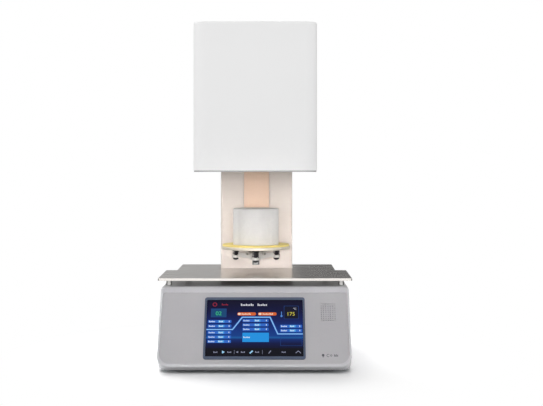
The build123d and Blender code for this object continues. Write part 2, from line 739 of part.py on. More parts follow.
def bottom_pan():
    """The steel pan that closes the base, with the posts of the control board."""
    pan = base_block(BASE_WALL + SLIDING_GAP, FASCIA_WALL, BASE_LOW)
    pan &= block(-FAR, FAR, -FAR, FAR, BASE_LOW, PAN_TOP)
    for x, y in board_post_places():
        pan += rod(POST_RADIUS, PAN_TOP - PAN_SHEET / 2, BOARD_LOW, x, y)
    for x, y in foot_places():
        pan -= rod(FOOT_SCREW_RADIUS + SLIDING_GAP, BASE_LOW - 1, PAN_TOP + 1, x, y)
    return pan


def board_post_places():
    """The four posts under the control board."""
    inner = BOARD_HALF_WIDTH - POST_INSET
    front = BOARD_FRONT_Y + POST_INSET
    back = BOARD_FRONT_Y + BOARD_LENGTH - POST_INSET
    return [(x, y) for x in (-inner, inner) for y in (front, back)]


def rubber_feet():
    """Four tapered feet, each with a well for its screw head."""
    feet = []
    for x, y in foot_places():
        foot = Pos(x, y, FOOT_HEIGHT / 2) * Cone(FOOT_RADIUS - FOOT_TAPER, FOOT_RADIUS, FOOT_HEIGHT)
        foot -= rod(FOOT_SCREW_RADIUS + SLIDING_GAP, 0, FOOT_HEIGHT, x, y)
        foot -= rod(FOOT_SCREW_HEAD + SLIDING_GAP, 0, FOOT_HEIGHT / 2, x, y)
        feet.append(foot)
    return feet


def foot_screws():
    """The screws that go through foot and pan into the bosses of the housing."""
    length = PAN_TOP + FOOT_SCREW_BITE - FOOT_HEIGHT / 2
    screw = pan_screw(FOOT_SCREW_HEAD, FOOT_SCREW_HEAD_HEIGHT, FOOT_SCREW_RADIUS, length)
    return [Pos(x, y, FOOT_HEIGHT / 2) * Rot(180, 0, 0) * screw for x, y in foot_places()]


# ------------------------------------------------------------------ work plate
def plate_sketch(inset):
    """The plate's plan: a main sheet with a wider wing on each side at the front."""
    low = PLATE_FRONT_Y + inset
    high = PLATE_BACK_Y - inset
    main = Pos(0, (low + high) / 2) * Rectangle(2 * (PLATE_HALF_WIDTH - inset), high - low)
    back = WING_BACK_Y - inset
    wing = Pos(0, (low + back) / 2) * Rectangle(2 * (WING_HALF_WIDTH - inset), back - low)
    plan = main + wing
    outer = plan.vertices().filter_by_position(Axis.Y, low - 1, low + 1)
    plan = fillet(outer, PLATE_CORNER)
    return plan


def work_plate():
    """The folded steel plate that tools and work are laid on, cut out for the column."""
    low = PLATE_TOP - PLATE_FOLD
    plate = extrude(Pos(0, 0, low) * plate_sketch(0), PLATE_FOLD)
    plate = fillet(plate.faces().sort_by(Axis.Z)[-1].edges(), PLATE_SHEET * 0.4)
    plate -= extrude(Pos(0, 0, low) * plate_sketch(PLATE_SHEET), PLATE_FOLD - PLATE_SHEET)
    half = COLUMN_HALF_WIDTH + 2 * COLUMN_GAP
    return plate - block(-half, half, COLUMN_FRONT_Y - 2 * COLUMN_GAP, FAR, low - 1, PLATE_TOP + 1)


def plate_standoffs():
    """Four turned posts that carry the plate clear of the base."""
    posts = []
    top = PLATE_TOP - PLATE_SHEET
    places = [(STANDOFF_FRONT_X, STANDOFF_FRONT_Y), (STANDOFF_REAR_X, STANDOFF_REAR_Y)]
    for x, y in places:
        post = rod(STANDOFF_RADIUS, BASE_TOP, top, x, y)
        middle = (BASE_TOP + top) / 2
        neck = rod(STANDOFF_RADIUS + 1, middle - 0.6, middle + 0.6, x, y)
        neck -= rod(STANDOFF_RADIUS - STANDOFF_NECK, middle - 1, middle + 1, x, y)
        post = chamfer(post.edges().filter_by(GeomType.CIRCLE), 0.5)
        posts += mirrored(post - neck)
    return posts


# ------------------------------------------------------------------ column
def column_shell():
    """The folded column with its front slot, standing on the pan."""
    column = column_room(0, PAN_TOP, COLUMN_TOP)
    front = column.edges().filter_by(Axis.Z).group_by(Axis.Y)[0]
    column = fillet(front, COLUMN_CORNER)
    half = COLUMN_INNER
    column -= block(-half, half, COLUMN_INNER_Y, COLUMN_BACK_Y + 1, PAN_TOP - 1, COLUMN_TOP + 1)
    flange = block(
        COLUMN_HALF_WIDTH - COLUMN_FLANGE,
        COLUMN_HALF_WIDTH,
        COLUMN_BACK_Y - COLUMN_WALL,
        COLUMN_BACK_Y,
        BASE_TOP + 2,
        COLUMN_TOP,
    )
    for side in mirrored(flange):
        column += side
    slot_top = CARRIAGE_TOP + LIFT_TRAVEL + CARRIAGE_OVERRUN + 2
    slot_half = SLOT_HALF_WIDTH
    column -= block(-slot_half, slot_half, COLUMN_FRONT_Y - 1, COLUMN_INNER_Y + 1, SLOT_LOW, slot_top)
    column -= rear_rod(HOSE_HOLE_RADIUS, COLUMN_FRONT_Y - 1, COLUMN_INNER_Y + 1, HOSE_X, HOSE_Z)
    for x, z in column_screw_places():
        column -= rear_rod(SCREW_SHANK_RADIUS + THREAD_GAP, COLUMN_BACK_Y - 5, COLUMN_BACK_Y + 1, x, z)
    return column


def column_screw_places():
    """The screws of the column's rear cover, in its return flanges."""
    x = COLUMN_HALF_WIDTH - COLUMN_FLANGE / 2
    low, high = PLATE_TOP + 8, HEAD_LOW - 12
    heights = [low, (low + high) / 2, high]
    return [(side * x, z) for side in (-1, 1) for z in heights]


def guide_channel():
    """The lining behind the slot, which hides the drive and closes the slot below."""
    outer = SLOT_HALF_WIDTH + CHANNEL_SHEET
    floor_y = BAR_BACK_Y + SLIDING_GAP
    low = SLOT_LOW - CHANNEL_SHEET
    channel = block(-outer, outer, COLUMN_INNER_Y, floor_y + CHANNEL_SHEET, low, HEAD_LOW + 6)
    run = block(-SLOT_HALF_WIDTH, SLOT_HALF_WIDTH, COLUMN_FRONT_Y, floor_y, SLOT_LOW, HEAD_LOW + 7)
    return channel - run


def column_rear_cover():
    """The flat cover on the back of the column, between plate and head."""
    half = COLUMN_HALF_WIDTH - 0.5
    y1 = COLUMN_BACK_Y + COVER_SHEET
    cover = block(-half, half, COLUMN_BACK_Y, y1, BASE_TOP + 1, TRIM_LOW - 0.5)
    middle = (PLATE_TOP + HEAD_LOW) / 2

    def even(height):
        return COVER_SLOT_HALF

    cover -= slots(COVER_SLOT_ROWS, COVER_SLOT_PITCH, even, COVER_SLOT, middle, COLUMN_BACK_Y - 1, y1 + 1)
    for x, z in column_screw_places():
        cover -= rear_rod(SCREW_SHANK_RADIUS + SLIDING_GAP, COLUMN_BACK_Y - 1, y1 + 1, x, z)
    return cover


def column_angles():
    """Angles that fix the column to the pan below and to the head's floor above."""
    angles = []
    x0 = COLUMN_HALF_WIDTH
    y0 = DRIVE_Y - ANGLE_WIDTH / 2
    y1 = DRIVE_Y + ANGLE_WIDTH / 2
    for low in (PAN_TOP, FLOOR_TOP):
        angle = block(x0, x0 + ANGLE_THICK, y0, y1, low, low + ANGLE_HEIGHT)
        angle += block(x0, x0 + ANGLE_FOOT, y0, y1, low, low + ANGLE_THICK)
        angles += mirrored(angle)
    return angles


# ------------------------------------------------------------------ lift and table
def slider_bar():
    """The steel strip in the column's slot that carries the table arm."""
    bar = block(-BAR_HALF_WIDTH, BAR_HALF_WIDTH, BAR_FRONT_Y, BAR_BACK_Y, BAR_LOW, CARRIAGE_TOP)
    for x, z in lift_screw_places():
        bar -= rear_rod(LIFT_SCREW_RADIUS + THREAD_GAP, BAR_FRONT_Y - 1, BAR_BACK_Y + 1, x, z)
    return bar


def lift_screw_places():
    """The two screws that hold the arm to the slider bar."""
    z = (ARM_TOP + ARM_LOW + ARM_LEAF_HEIGHT) / 2
    return [(-LIFT_SCREW_X, z), (LIFT_SCREW_X, z)]


def table_arm():
    """The bracket from the slider bar to the hub, narrowing towards its eye."""
    y1 = BAR_FRONT_Y
    y0 = y1 - ARM_LEAF
    leaf = block(-ARM_HALF_WIDTH, ARM_HALF_WIDTH, y0, y1, ARM_LOW, ARM_LOW + ARM_LEAF_HEIGHT)
    side_x = ARM_EYE_RADIUS * math.cos(math.radians(8))
    side_y = ARM_EYE_RADIUS * math.sin(math.radians(8))
    half = ARM_HALF_WIDTH
    web = Polygon((-half, y1), (-side_x, side_y), (side_x, side_y), (half, y1), align=None)
    arm = leaf + extrude(Pos(0, 0, ARM_LOW) * (web + Circle(ARM_EYE_RADIUS)), ARM_THICK)
    arm -= rod(CLAMP_STUD_RADIUS + 0.2, ARM_LOW - 1, ARM_TOP + 1)
    for x, z in lift_screw_places():
        arm -= rear_rod(LIFT_SCREW_RADIUS + 0.2, y0 - 1, y1 + 1, x, z)
    return arm


def lift_screws():
    """Socket-head screws through the arm into the slider bar."""
    y0 = BAR_FRONT_Y - ARM_LEAF
    screws = []
    for x, z in lift_screw_places():
        screw = rear_rod(LIFT_SCREW_HEAD, y0 - LIFT_SCREW_HEAD_HEIGHT, y0, x, z)
        screw = chamfer(screw.edges().group_by(Axis.Y)[0], 0.4)
        socket = RegularPolygon(LIFT_SCREW_HEAD / 2, 6)
        depth = LIFT_SCREW_HEAD_HEIGHT * 0.6
        screw -= Pos(x, y0 - LIFT_SCREW_HEAD_HEIGHT, z) * REAR * extrude(socket, depth)
        screws.append(screw + rear_rod(LIFT_SCREW_RADIUS, y0, BAR_BACK_Y, x, z))
    return screws


def spring_places():
    """The centres of the three table springs, one of them at the front."""
    places = []
    for n in range(SPRING_COUNT):
        angle = math.radians(-90 + n * 360 / SPRING_COUNT)
        places.append((SPRING_CIRCLE * math.cos(angle), SPRING_CIRCLE * math.sin(angle)))
    return places


def spider():
    """The three-armed carrier under the table: hub, tapering ribs and spring pads."""
    carrier = rod(HUB_RADIUS, HUB_LOW, ARM_LOW)
    root = HUB_LOW + RIB_LOWER_RISE
    neck = ARM_LOW - ARM_CLEARANCE
    crest = ARM_LOW + RIB_CREST
    crest_start = HUB_RADIUS + RIB_CREST_START
    crest_end = SPRING_CIRCLE - SPRING_RADIUS - SPRING_WIRE - ARM_CLEARANCE
    tip_x = SPRING_CIRCLE
    profile = Polygon(
        (0, root),
        (HUB_RADIUS, root),
        (crest_end, PAD_TOP - RIB_TIP),
        (tip_x, PAD_TOP - RIB_TIP),
        (tip_x, PAD_TOP),
        (crest_end, PAD_TOP),
        (crest_end, crest),
        (crest_start, crest),
        (crest_start, neck),
        (0, neck),
        align=None,
    )
    rib = extrude(Plane.XZ * profile, RIB_WIDTH / 2, both=True)
    for n in range(SPRING_COUNT):
        carrier += Rot(0, 0, -90 + n * 360 / SPRING_COUNT) * rib
    for x, y in spring_places():
        carrier += rod(PAD_RADIUS, PAD_LOW, PAD_TOP, x, y)
    for x, y in spring_places():
        carrier -= rod(STUD_RADIUS + SLIDING_GAP, PAD_LOW - 1, PAD_TOP + 1, x, y)
    return carrier - rod(CLAMP_STUD_RADIUS + 0.2, HUB_LOW - 1, ARM_LOW + 1)


def table_springs():
    """Three compression springs between the spider and the table flange."""
    low = PAD_TOP + SPRING_SEAT_GAP + SPRING_WIRE
    high = FLANGE_LOW - SPRING_SEAT_GAP - SPRING_WIRE
    pitch = (high - low) / SPRING_TURNS
    spring = wound_wire(SPRING_WIRE, SPRING_RADIUS, pitch, SPRING_TURNS, low)
    return [Pos(x, y, 0) * spring for x, y in spring_places()]


def hub_knob():
    """The fluted knob under the hub, with the stud and nut that clamp hub and arm."""
    low = HUB_LOW - KNOB_HEIGHT
    knob = rod(KNOB_RADIUS, low, HUB_LOW)
    knob = chamfer(knob.edges().filter_by(GeomType.CIRCLE), KNOB_EDGE)
    for n in range(KNOB_FLUTES):
        turn = 2 * math.pi * n / KNOB_FLUTES
        x, y = KNOB_RADIUS * math.cos(turn), KNOB_RADIUS * math.sin(turn)
        knob -= rod(KNOB_FLUTE, low - 1, HUB_LOW + 1, x, y)
    nut_top = ARM_TOP + CLAMP_NUT_HEIGHT
    knob += rod(CLAMP_STUD_RADIUS, HUB_LOW, nut_top + 0.6)
    return [knob, hex_nut(CLAMP_NUT, CLAMP_STUD_RADIUS + THREAD_GAP, ARM_TOP, nut_top)]


def flange_studs():
    """Studs from the flange down through springs and pads, each with its stop nut."""
    pieces = []
    nut_top = PAD_LOW - SLIDING_GAP / 3
    nut_low = nut_top - STUD_NUT_HEIGHT
    for x, y in spring_places():
        pieces.append(rod(STUD_RADIUS, nut_low - 1, FLANGE_LOW + STUD_GRIP, x, y))
        pieces.append(hex_nut(STUD_NUT, STUD_RADIUS + THREAD_GAP, nut_low, nut_top, x, y))
    return pieces


def table_flange():
    """The round steel table that carries the gasket and the pedestal."""
    flange = rod(FLANGE_RADIUS, FLANGE_LOW, GASKET_LOW)
    flange = chamfer(flange.edges().filter_by(GeomType.CIRCLE), FLANGE_CHAMFER)
    flange -= rod(PEDESTAL_RADIUS + SLIDING_GAP, PEDESTAL_LOW, GASKET_LOW + 1)
    for x, y in spring_places():
        flange -= rod(STUD_RADIUS + THREAD_GAP, FLANGE_LOW - 1, FLANGE_LOW + STUD_GRIP, x, y)
    return flange


def table_gasket():
    """The silicone sealing ring on the flange."""
    outer = FLANGE_RADIUS - GASKET_EDGE
    ring = rod(outer, GASKET_LOW, GASKET_TOP) - rod(GASKET_INNER, GASKET_LOW - 1, GASKET_TOP + 1)
    return fillet(ring.edges().group_by(Axis.Z)[-1], GASKET_THICK / 4)


def firing_pedestal():
    """The ceramic pedestal that the work is fired on; it lifts off by hand."""
    pedestal = rod(PEDESTAL_RADIUS, PEDESTAL_LOW, PEDESTAL_LOW + PEDESTAL_HEIGHT)
    return fillet(pedestal.edges().group_by(Axis.Z)[-1], PEDESTAL_EDGE)


# ------------------------------------------------------------------ drive
def drive_block(z0, z1, half_width):
    """A block across the drive, bored for nothing yet."""
    return block(-half_width, half_width, CARRIAGE_FRONT_Y, CARRIAGE_BACK_Y, z0, z1)


def carriage_block():
    """The carriage on the guide rods, with the boss that holds the slider bar."""
    body = drive_block(CARRIAGE_LOW, CARRIAGE_TOP, CARRIAGE_HALF_WIDTH)
    body = chamfer(body.edges().filter_by(Axis.Z), 2)
    boss_half = BAR_HALF_WIDTH - 2
    body += block(-boss_half, boss_half, BAR_BACK_Y, CARRIAGE_FRONT_Y + 1, CARRIAGE_LOW, CARRIAGE_TOP)
    body -= rod(NUT_RADIUS + THREAD_GAP, CARRIAGE_LOW - 1, CARRIAGE_TOP + 1, 0, DRIVE_Y)
    for x in (-ROD_X, ROD_X):
        bore = ROD_RADIUS + BUSH_GAP + BUSH_WALL + THREAD_GAP
        body -= rod(bore, CARRIAGE_LOW - 1, CARRIAGE_TOP + 1, x, DRIVE_Y)
    return body


def carriage_bushes():
    """Plain bushes at both ends of each bore of the carriage."""
    bushes = []
    for x in (-ROD_X, ROD_X):
        for low in (CARRIAGE_LOW, CARRIAGE_TOP - BUSH_LENGTH):
            inner = ROD_RADIUS + BUSH_GAP
            bush = rod(inner + BUSH_WALL, low, low + BUSH_LENGTH, x, DRIVE_Y)
            bushes.append(bush - rod(inner, low - 1, low + BUSH_LENGTH + 1, x, DRIVE_Y))
    return bushes


def guide_rods():
    """Two ground rods between the rod blocks."""
    return [rod(ROD_RADIUS, ROD_BLOCK_LOW, COLUMN_TOP, x, DRIVE_Y) for x in (-ROD_X, ROD_X)]


def rod_blocks():
    """The blocks across the column that hold the ends of the guide rods."""
    blocks = []
    for low in (ROD_BLOCK_LOW, TOP_BLOCK_LOW):
        made = drive_block(low, low + ROD_BLOCK, COLUMN_INNER)
        for x in (-ROD_X, ROD_X):
            made -= rod(ROD_RADIUS + THREAD_GAP, low - 1, low + ROD_BLOCK + 1, x, DRIVE_Y)
        made -= rod(SCREW_RADIUS + SLIDING_GAP, low - 1, low + ROD_BLOCK + 1, 0, DRIVE_Y)
        blocks.append(made)
    return blocks


def lead_nut():
    """The flanged bronze nut under the carriage."""
    low = CARRIAGE_LOW - NUT_FLANGE
    nut = rod(NUT_FLANGE_RADIUS, low, CARRIAGE_LOW, 0, DRIVE_Y)
    nut &= block(-FAR, FAR, CARRIAGE_FRONT_Y, CARRIAGE_BACK_Y, low, CARRIAGE_LOW)
    nut += rod(NUT_RADIUS, CARRIAGE_LOW, low + NUT_LENGTH, 0, DRIVE_Y)
    return nut - rod(SCREW_RADIUS + SLIDING_GAP, low - 1, low + NUT_LENGTH + 1, 0, DRIVE_Y)


def lead_screw():
    """The lift screw with the collar that rests on the thrust block."""
    screw = rod(SCREW_RADIUS, COUPLING_MIDDLE + 1, COLUMN_TOP - SCREW_END_GAP, 0, DRIVE_Y)
    collar_low = THRUST_TOP + SLIDING_GAP
    screw += rod(COLLAR_RADIUS, collar_low, collar_low + COLLAR_HEIGHT, 0, DRIVE_Y)
    return chamfer(screw.edges().group_by(Axis.Z)[-1], 1)


def thrust_block():
    """The bearing block across the column that the screw hangs its load on."""
    made = drive_block(THRUST_LOW, THRUST_TOP, COLUMN_INNER)
    return made - rod(SCREW_RADIUS + SLIDING_GAP, THRUST_LOW - 1, THRUST_TOP + 1, 0, DRIVE_Y)


def lift_motor():
    """The stepping motor under its bracket, with a pilot ring and a shaft bore."""
    half = MOTOR_HALF_WIDTH
    motor = block(-half, half, DRIVE_Y - half, DRIVE_Y + half, MOTOR_LOW, MOTOR_TOP)
    motor = chamfer(motor.edges().filter_by(Axis.Z), 4)
    motor += rod(COUPLING_RADIUS, MOTOR_TOP, MOTOR_TOP + 2, 0, DRIVE_Y)
    return motor - rod(MOTOR_SHAFT_RADIUS + SLIDING_GAP, MOTOR_TOP - 4, MOTOR_TOP + 3, 0, DRIVE_Y)


def motor_shaft():
    """The shaft of the lift motor."""
    return rod(MOTOR_SHAFT_RADIUS, MOTOR_TOP - 4 + SLIDING_GAP, COUPLING_MIDDLE - 1, 0, DRIVE_Y)


def motor_bracket():
    """The shelf across the column that carries the lift motor."""
    y0 = DRIVE_Y - MOTOR_HALF_WIDTH
    y1 = CARRIAGE_BACK_Y + 4
    shelf = block(-COLUMN_INNER, COLUMN_INNER, y0, y1, MOTOR_TOP, BRACKET_TOP)
    return shelf - rod(COUPLING_RADIUS + SLIDING_GAP, MOTOR_TOP - 1, BRACKET_TOP + 1, 0, DRIVE_Y)


def shaft_coupling():
    """The coupling between motor shaft and lift screw."""
    body = rod(COUPLING_RADIUS, COUPLING_LOW, COUPLING_TOP, 0, DRIVE_Y)
    body = chamfer(body.edges().filter_by(GeomType.CIRCLE), 0.8)
    body -= rod(MOTOR_SHAFT_RADIUS + THREAD_GAP, COUPLING_LOW - 1, COUPLING_MIDDLE, 0, DRIVE_Y)
    return body - rod(SCREW_RADIUS + THREAD_GAP, COUPLING_MIDDLE, COUPLING_TOP + 1, 0, DRIVE_Y)


# ------------------------------------------------------------------ head
def head_room(inset, low):
    """The outer form of the head, set in by a wall."""
    half = HEAD_HALF_WIDTH - inset
    room = block(-half, half, HEAD_FRONT_Y + inset, HEAD_BACK_Y - inset, low, HEAD_TOP - inset)
    return fillet(room.edges().filter_by(Axis.Z), HEAD_CORNER - inset)


def head_shell():
    """The painted casing of the head, folded in below and open at the back."""
    shell = head_room(0, HEAD_LOW)
    shell = fillet(shell.faces().sort_by(Axis.Z)[-1].edges(), HEAD_TOP_EDGE)
    shell -= head_room(HEAD_WALL, FLOOR_LOW)
    half = HEAD_HALF_WIDTH - HEAD_WALL - HEAD_LIP_WIDTH
    front = HEAD_FRONT_Y + HEAD_WALL + HEAD_LIP_WIDTH
    opening = block(-half, half, front, COLUMN_BACK_Y + COLUMN_HOLE_GAP, HEAD_LOW - 1, FLOOR_LOW + 1)
    shell -= fillet(opening.edges().filter_by(Axis.Z), 3)
    low, high = rear_opening_heights()
    half = REAR_OPENING_HALF
    shell -= block(-half, half, HEAD_BACK_Y - 2 * HEAD_WALL, HEAD_BACK_Y + 1, low, high)
    for x, z in head_screw_places():
        shell -= rear_rod(SCREW_SHANK_RADIUS + THREAD_GAP, HEAD_BACK_Y - 5, HEAD_BACK_Y + 1, x, z)
    return shell


def rear_opening_heights():
    """The lower and upper edge of the opening in the back of the head."""
    return HEAD_LOW + REAR_OPENING_MARGIN, HEAD_TOP - REAR_OPENING_MARGIN


def head_screw_places():
    """The screws of the head's rear cover."""
    low, high = rear_opening_heights()
    x = REAR_OPENING_HALF + COVER_LAP / 2
    heights = [low - COVER_LAP / 2, (low + high) / 2, high + COVER_LAP / 2]
    return [(side * x, z) for side in (-1, 1) for z in heights]


def head_rear_cover():
    """The screwed cover on the back of the head, with cooling slots in two bands."""
    low, high = rear_opening_heights()
    half = REAR_OPENING_HALF + COVER_LAP
    y1 = HEAD_BACK_Y + COVER_SHEET
    cover = block(-half, half, HEAD_BACK_Y, y1, low - COVER_LAP, high + COVER_LAP)
    cover = fillet(cover.edges().filter_by(Axis.Y), 4)

    def wide(height):
        return 2 * COVER_SLOT_HALF

    quarter = (high - low) / 4
    for middle in (low + quarter, high - quarter):
        cover -= slots(COVER_SLOT_ROWS, COVER_SLOT_PITCH, wide, COVER_SLOT, middle, HEAD_BACK_Y - 1, y1 + 1)
    for x, z in head_screw_places():
        cover -= rear_rod(SCREW_SHANK_RADIUS + SLIDING_GAP, HEAD_BACK_Y - 1, y1 + 1, x, z)
    return cover


def cover_screws():
    """The pan-head screws of both rear covers and of the mains socket."""
    screw = REAR * pan_screw(SCREW_HEAD_RADIUS, SCREW_HEAD_HEIGHT, SCREW_SHANK_RADIUS, SCREW_LENGTH)
    screws = [Pos(x, HEAD_BACK_Y + COVER_SHEET, z) * screw for x, z in head_screw_places()]
    screws += [Pos(x, COLUMN_BACK_Y + COVER_SHEET, z) * screw for x, z in column_screw_places()]
    for side in (-1, 1):
        place = INLET_X + side * INLET_SCREW_X
        screws.append(Pos(place, BASE_BACK_Y + INLET_FLANGE, FITTING_Z) * screw)
    return screws


def head_bottom_plate():
    """The floor of the head, which hangs the muffle and is bolted to the column."""
    inset = HEAD_WALL + FLOOR_GAP
    floor = head_room(inset, FLOOR_LOW)
    floor &= block(-FAR, FAR, -FAR, FAR, FLOOR_LOW, FLOOR_TOP)
    floor -= rod(BORE_RADIUS, FLOOR_LOW - 1, FLOOR_TOP + 1)
    return floor - column_room(COLUMN_HOLE_GAP, FLOOR_LOW - 1, FLOOR_TOP + 1)


def head_trim_plate():
    """The sheet under the folded edge of the head, open round the seal seat and the column.

    A notch in front of the column lets the leaf of the table's arm rise past the sheet.
    """
    trim = head_room(TRIM_INSET, TRIM_LOW)
    trim &= block(-FAR, FAR, -FAR, FAR, TRIM_LOW, HEAD_LOW)
    trim -= rod(SEAT_FLANGE_RADIUS + TRIM_LAP, TRIM_LOW - 1, HEAD_LOW + 1)
    half = ARM_HALF_WIDTH + TRIM_NOTCH_GAP
    notch_y = BAR_FRONT_Y - ARM_LEAF - LIFT_SCREW_HEAD_HEIGHT - TRIM_NOTCH_GAP
    trim -= block(-half, half, notch_y, COLUMN_FRONT_Y, TRIM_LOW - 1, HEAD_LOW + 1)
    return trim - column_room(COLUMN_HOLE_GAP, TRIM_LOW - 1, HEAD_LOW + 1)


def seal_seat():
    """The ring under the floor that the gasket closes against."""
    top = FLOOR_TOP + SEAT_SPIGOT
    seat = rod(SEAT_FLANGE_RADIUS, SEAL_FACE, FLOOR_LOW)
    seat += rod(BORE_RADIUS - INSULATION_GAP, FLOOR_LOW, top)
    return seat - rod(SEAT_BORE_RADIUS, SEAL_FACE - 1, top + 1)


def case_room(inset, z0, z1):
    """The outer form of the muffle case, set in by a wall."""
    half = CASE_HALF_WIDTH - inset
    room = block(-half, half, inset - CASE_HALF_WIDTH, CASE_BACK_Y - inset, z0, z1)
    return fillet(room.edges().filter_by(Axis.Z), CASE_CORNER - inset)


def muffle_case():
    """The sheet-steel case round the insulation."""
    case = case_room(0, FLOOR_TOP, CASE_TOP) - case_room(CASE_WALL, FLOOR_TOP - 1, CASE_TOP - CASE_WALL)
    case -= rod(COUPLE_RADIUS + SLIDING_GAP, CASE_TOP - 5, CASE_TOP + 1)
    case -= rod(PORT_RADIUS + SLIDING_GAP, CASE_TOP - 5, CASE_TOP + 1, ELBOW_X, ELBOW_Y)
    for x in (-lead_x(), lead_x()):
        case -= rod(LEAD_RADIUS + GROOVE_GAP, CASE_TOP - 5, CASE_TOP + 1, x, lead_y())
    return case


def lead_x():
    """The sideways place of the heater leads, in grooves outside the heater."""
    return HEATER_RADIUS - HEATER_WIRE + LUG_DEPTH - LEAD_RADIUS


def lead_y():
    """The depth of the heater leads, where the straight ends of the heater meet them."""
    return -2 * HEATER_WIRE - THREAD_GAP - LUG_WIDTH / 2


def insulation_block():
    """The moulded fibre insulation with the bore of the chamber and its passages."""
    top = CASE_TOP - CASE_WALL - INSULATION_GAP
    block_ = case_room(CASE_WALL + INSULATION_GAP, FLOOR_TOP, top)
    block_ -= rod(BORE_RADIUS, FLOOR_TOP - 1, CHAMBER_TOP)
    block_ -= rod(COUPLE_RADIUS + SLIDING_GAP, CHAMBER_TOP - 1, top + 1)
    block_ -= rod(PORT_RADIUS, CHAMBER_TOP - 1, top + 1, ELBOW_X, ELBOW_Y)
    reach = lead_x() + LEAD_RADIUS + GROOVE_GAP
    half = LUG_WIDTH / 2 + GROOVE_GAP
    groove = block(0, reach, lead_y() - half, lead_y() + half, FLOOR_TOP + 3, CHAMBER_TOP)
    groove -= rod(LINER_RADIUS, FLOOR_TOP, CHAMBER_TOP + 1)
    for side in mirrored(groove):
        block_ -= side
    for x in (-lead_x(), lead_x()):
        block_ -= rod(LEAD_RADIUS + SLIDING_GAP, CHAMBER_TOP - 1, top + 1, x, lead_y())
    return block_


def quartz_liner():
    """The quartz tube that lines the chamber inside the heater."""
    outer = LINER_RADIUS + LINER_WALL
    return rod(outer, LINER_LOW, CHAMBER_TOP) - rod(LINER_RADIUS, LINER_LOW - 1, CHAMBER_TOP + 1)


def heater_coil():
    """The resistance heater wound round the liner."""
    return wound_wire(HEATER_WIRE, HEATER_RADIUS, HEATER_PITCH, HEATER_TURNS, HEATER_LOW)


def heater_leads():
    """A lug on each end of the heater, with a rod up through the roof."""
    leads = []
    rise = HEATER_PITCH * HEATER_TURNS
    tail = 2 * HEATER_WIRE
    drop = HEATER_PITCH / (math.tau * HEATER_RADIUS) * tail
    for side, z in ((1, HEATER_LOW - drop), (-1, HEATER_LOW + rise + drop)):
        near = HEATER_RADIUS - HEATER_WIRE
        x0, x1 = sorted((side * near, side * (near + LUG_DEPTH)))
        half = LUG_WIDTH / 2
        lead = block(x0, x1, lead_y() - half, lead_y() + half, z - half, z + half)
        lead += rod(LEAD_RADIUS, z, CASE_TOP + LEAD_PROUD, side * lead_x(), lead_y())
        leads.append(lead)
    return leads


def thermocouple():
    """The sheathed probe through the roof, with its connection head."""
    probe = rod(COUPLE_RADIUS, CHAMBER_TOP - COUPLE_REACH, CASE_TOP)
    head = rod(COUPLE_HEAD_RADIUS, CASE_TOP, CASE_TOP + COUPLE_HEAD_HEIGHT)
    return probe + chamfer(head.edges().group_by(Axis.Z)[-1], 1)


# ------------------------------------------------------------------ vacuum line
def vacuum_elbow():
    """The bent fitting on the case that the hose is pushed onto."""
    roof = CASE_TOP - CASE_WALL
    elbow = rod(PORT_RADIUS, roof, HOSE_Z + PORT_RADIUS, ELBOW_X, ELBOW_Y)
    elbow += rod(PORT_RADIUS + 3, CASE_TOP, CASE_TOP + 4, ELBOW_X, ELBOW_Y)
    elbow += rear_rod(PORT_RADIUS, ELBOW_Y, ELBOW_Y + ELBOW_REACH, ELBOW_X, HOSE_Z)
    elbow -= rod(PORT_BORE, roof - 1, HOSE_Z, ELBOW_X, ELBOW_Y)
    return elbow - rear_rod(PORT_BORE, ELBOW_Y, ELBOW_Y + ELBOW_REACH + 1, ELBOW_X, HOSE_Z)


def vacuum_hose():
    """The hose from the elbow into the column, down behind the drive and to the port."""
    start_y = ELBOW_Y + ELBOW_REACH
    turn_y = start_y + HOSE_FIRST_RUN
    shift = abs(HOSE_X - ELBOW_X)
    points = [
        (ELBOW_X, start_y, HOSE_Z),
        (ELBOW_X, turn_y, HOSE_Z),
        (HOSE_X, turn_y + shift, HOSE_Z),
        (HOSE_X, HOSE_DOWN_Y, HOSE_Z),
        (HOSE_X, HOSE_DOWN_Y, PORT_Z),
        (HOSE_X, PORT_INNER_Y, PORT_Z),
    ]
    radii = hose_radii([Vector(*point) for point in points])
    path = FilletPolyline(*points, radius=radii)
    start = Plane(path @ 0, z_dir=path % 0)
    hose = sweep(start * Circle(HOSE_RADIUS), path) - sweep(start * Circle(HOSE_BORE), path)
    expected = path.length * math.pi * (HOSE_RADIUS ** 2 - HOSE_BORE ** 2)
    print("hose radii", [round(radius, 1) for radius in radii], "volume", round(hose.volume / expected, 4))
    return hose


def hose_radii(points):
    """The bend at each corner: 0.45 of the shorter run over the tangent of half the turn."""
    radii = []
    for before, corner, after in zip(points, points[1:], points[2:]):
        run = min((corner - before).length, (after - corner).length)
        turn = math.radians((corner - before).get_angle(after - corner))
        radii.append(0.45 * run / math.tan(turn / 2))
    return radii


def vacuum_port():
    """The bulkhead nipple in the back wall for the vacuum pump, with its nut inside."""
    nipple_end = BASE_BACK_Y + PORT_LENGTH
    thread_end = BASE_BACK_Y
    port = rear_rod(PORT_THREAD, PORT_INNER_Y, thread_end, HOSE_X, PORT_Z)
    port += rear_rod(PORT_FLANGE_RADIUS, thread_end, thread_end + PORT_FLANGE, HOSE_X, PORT_Z)
    nipple = rear_rod(PORT_RADIUS, thread_end, nipple_end, HOSE_X, PORT_Z)
    port += chamfer(nipple.edges().group_by(Axis.Y)[-1], 0.8)
    port -= rear_rod(PORT_BORE, PORT_INNER_Y - 1, nipple_end + 1, HOSE_X, PORT_Z)
    nut = hex_nut(PORT_NUT, PORT_THREAD + THREAD_GAP, 0, PORT_NUT_THICK)
    return [port, Pos(HOSE_X, BASE_INNER_BACK - PORT_NUT_THICK, PORT_Z) * REAR * nut]


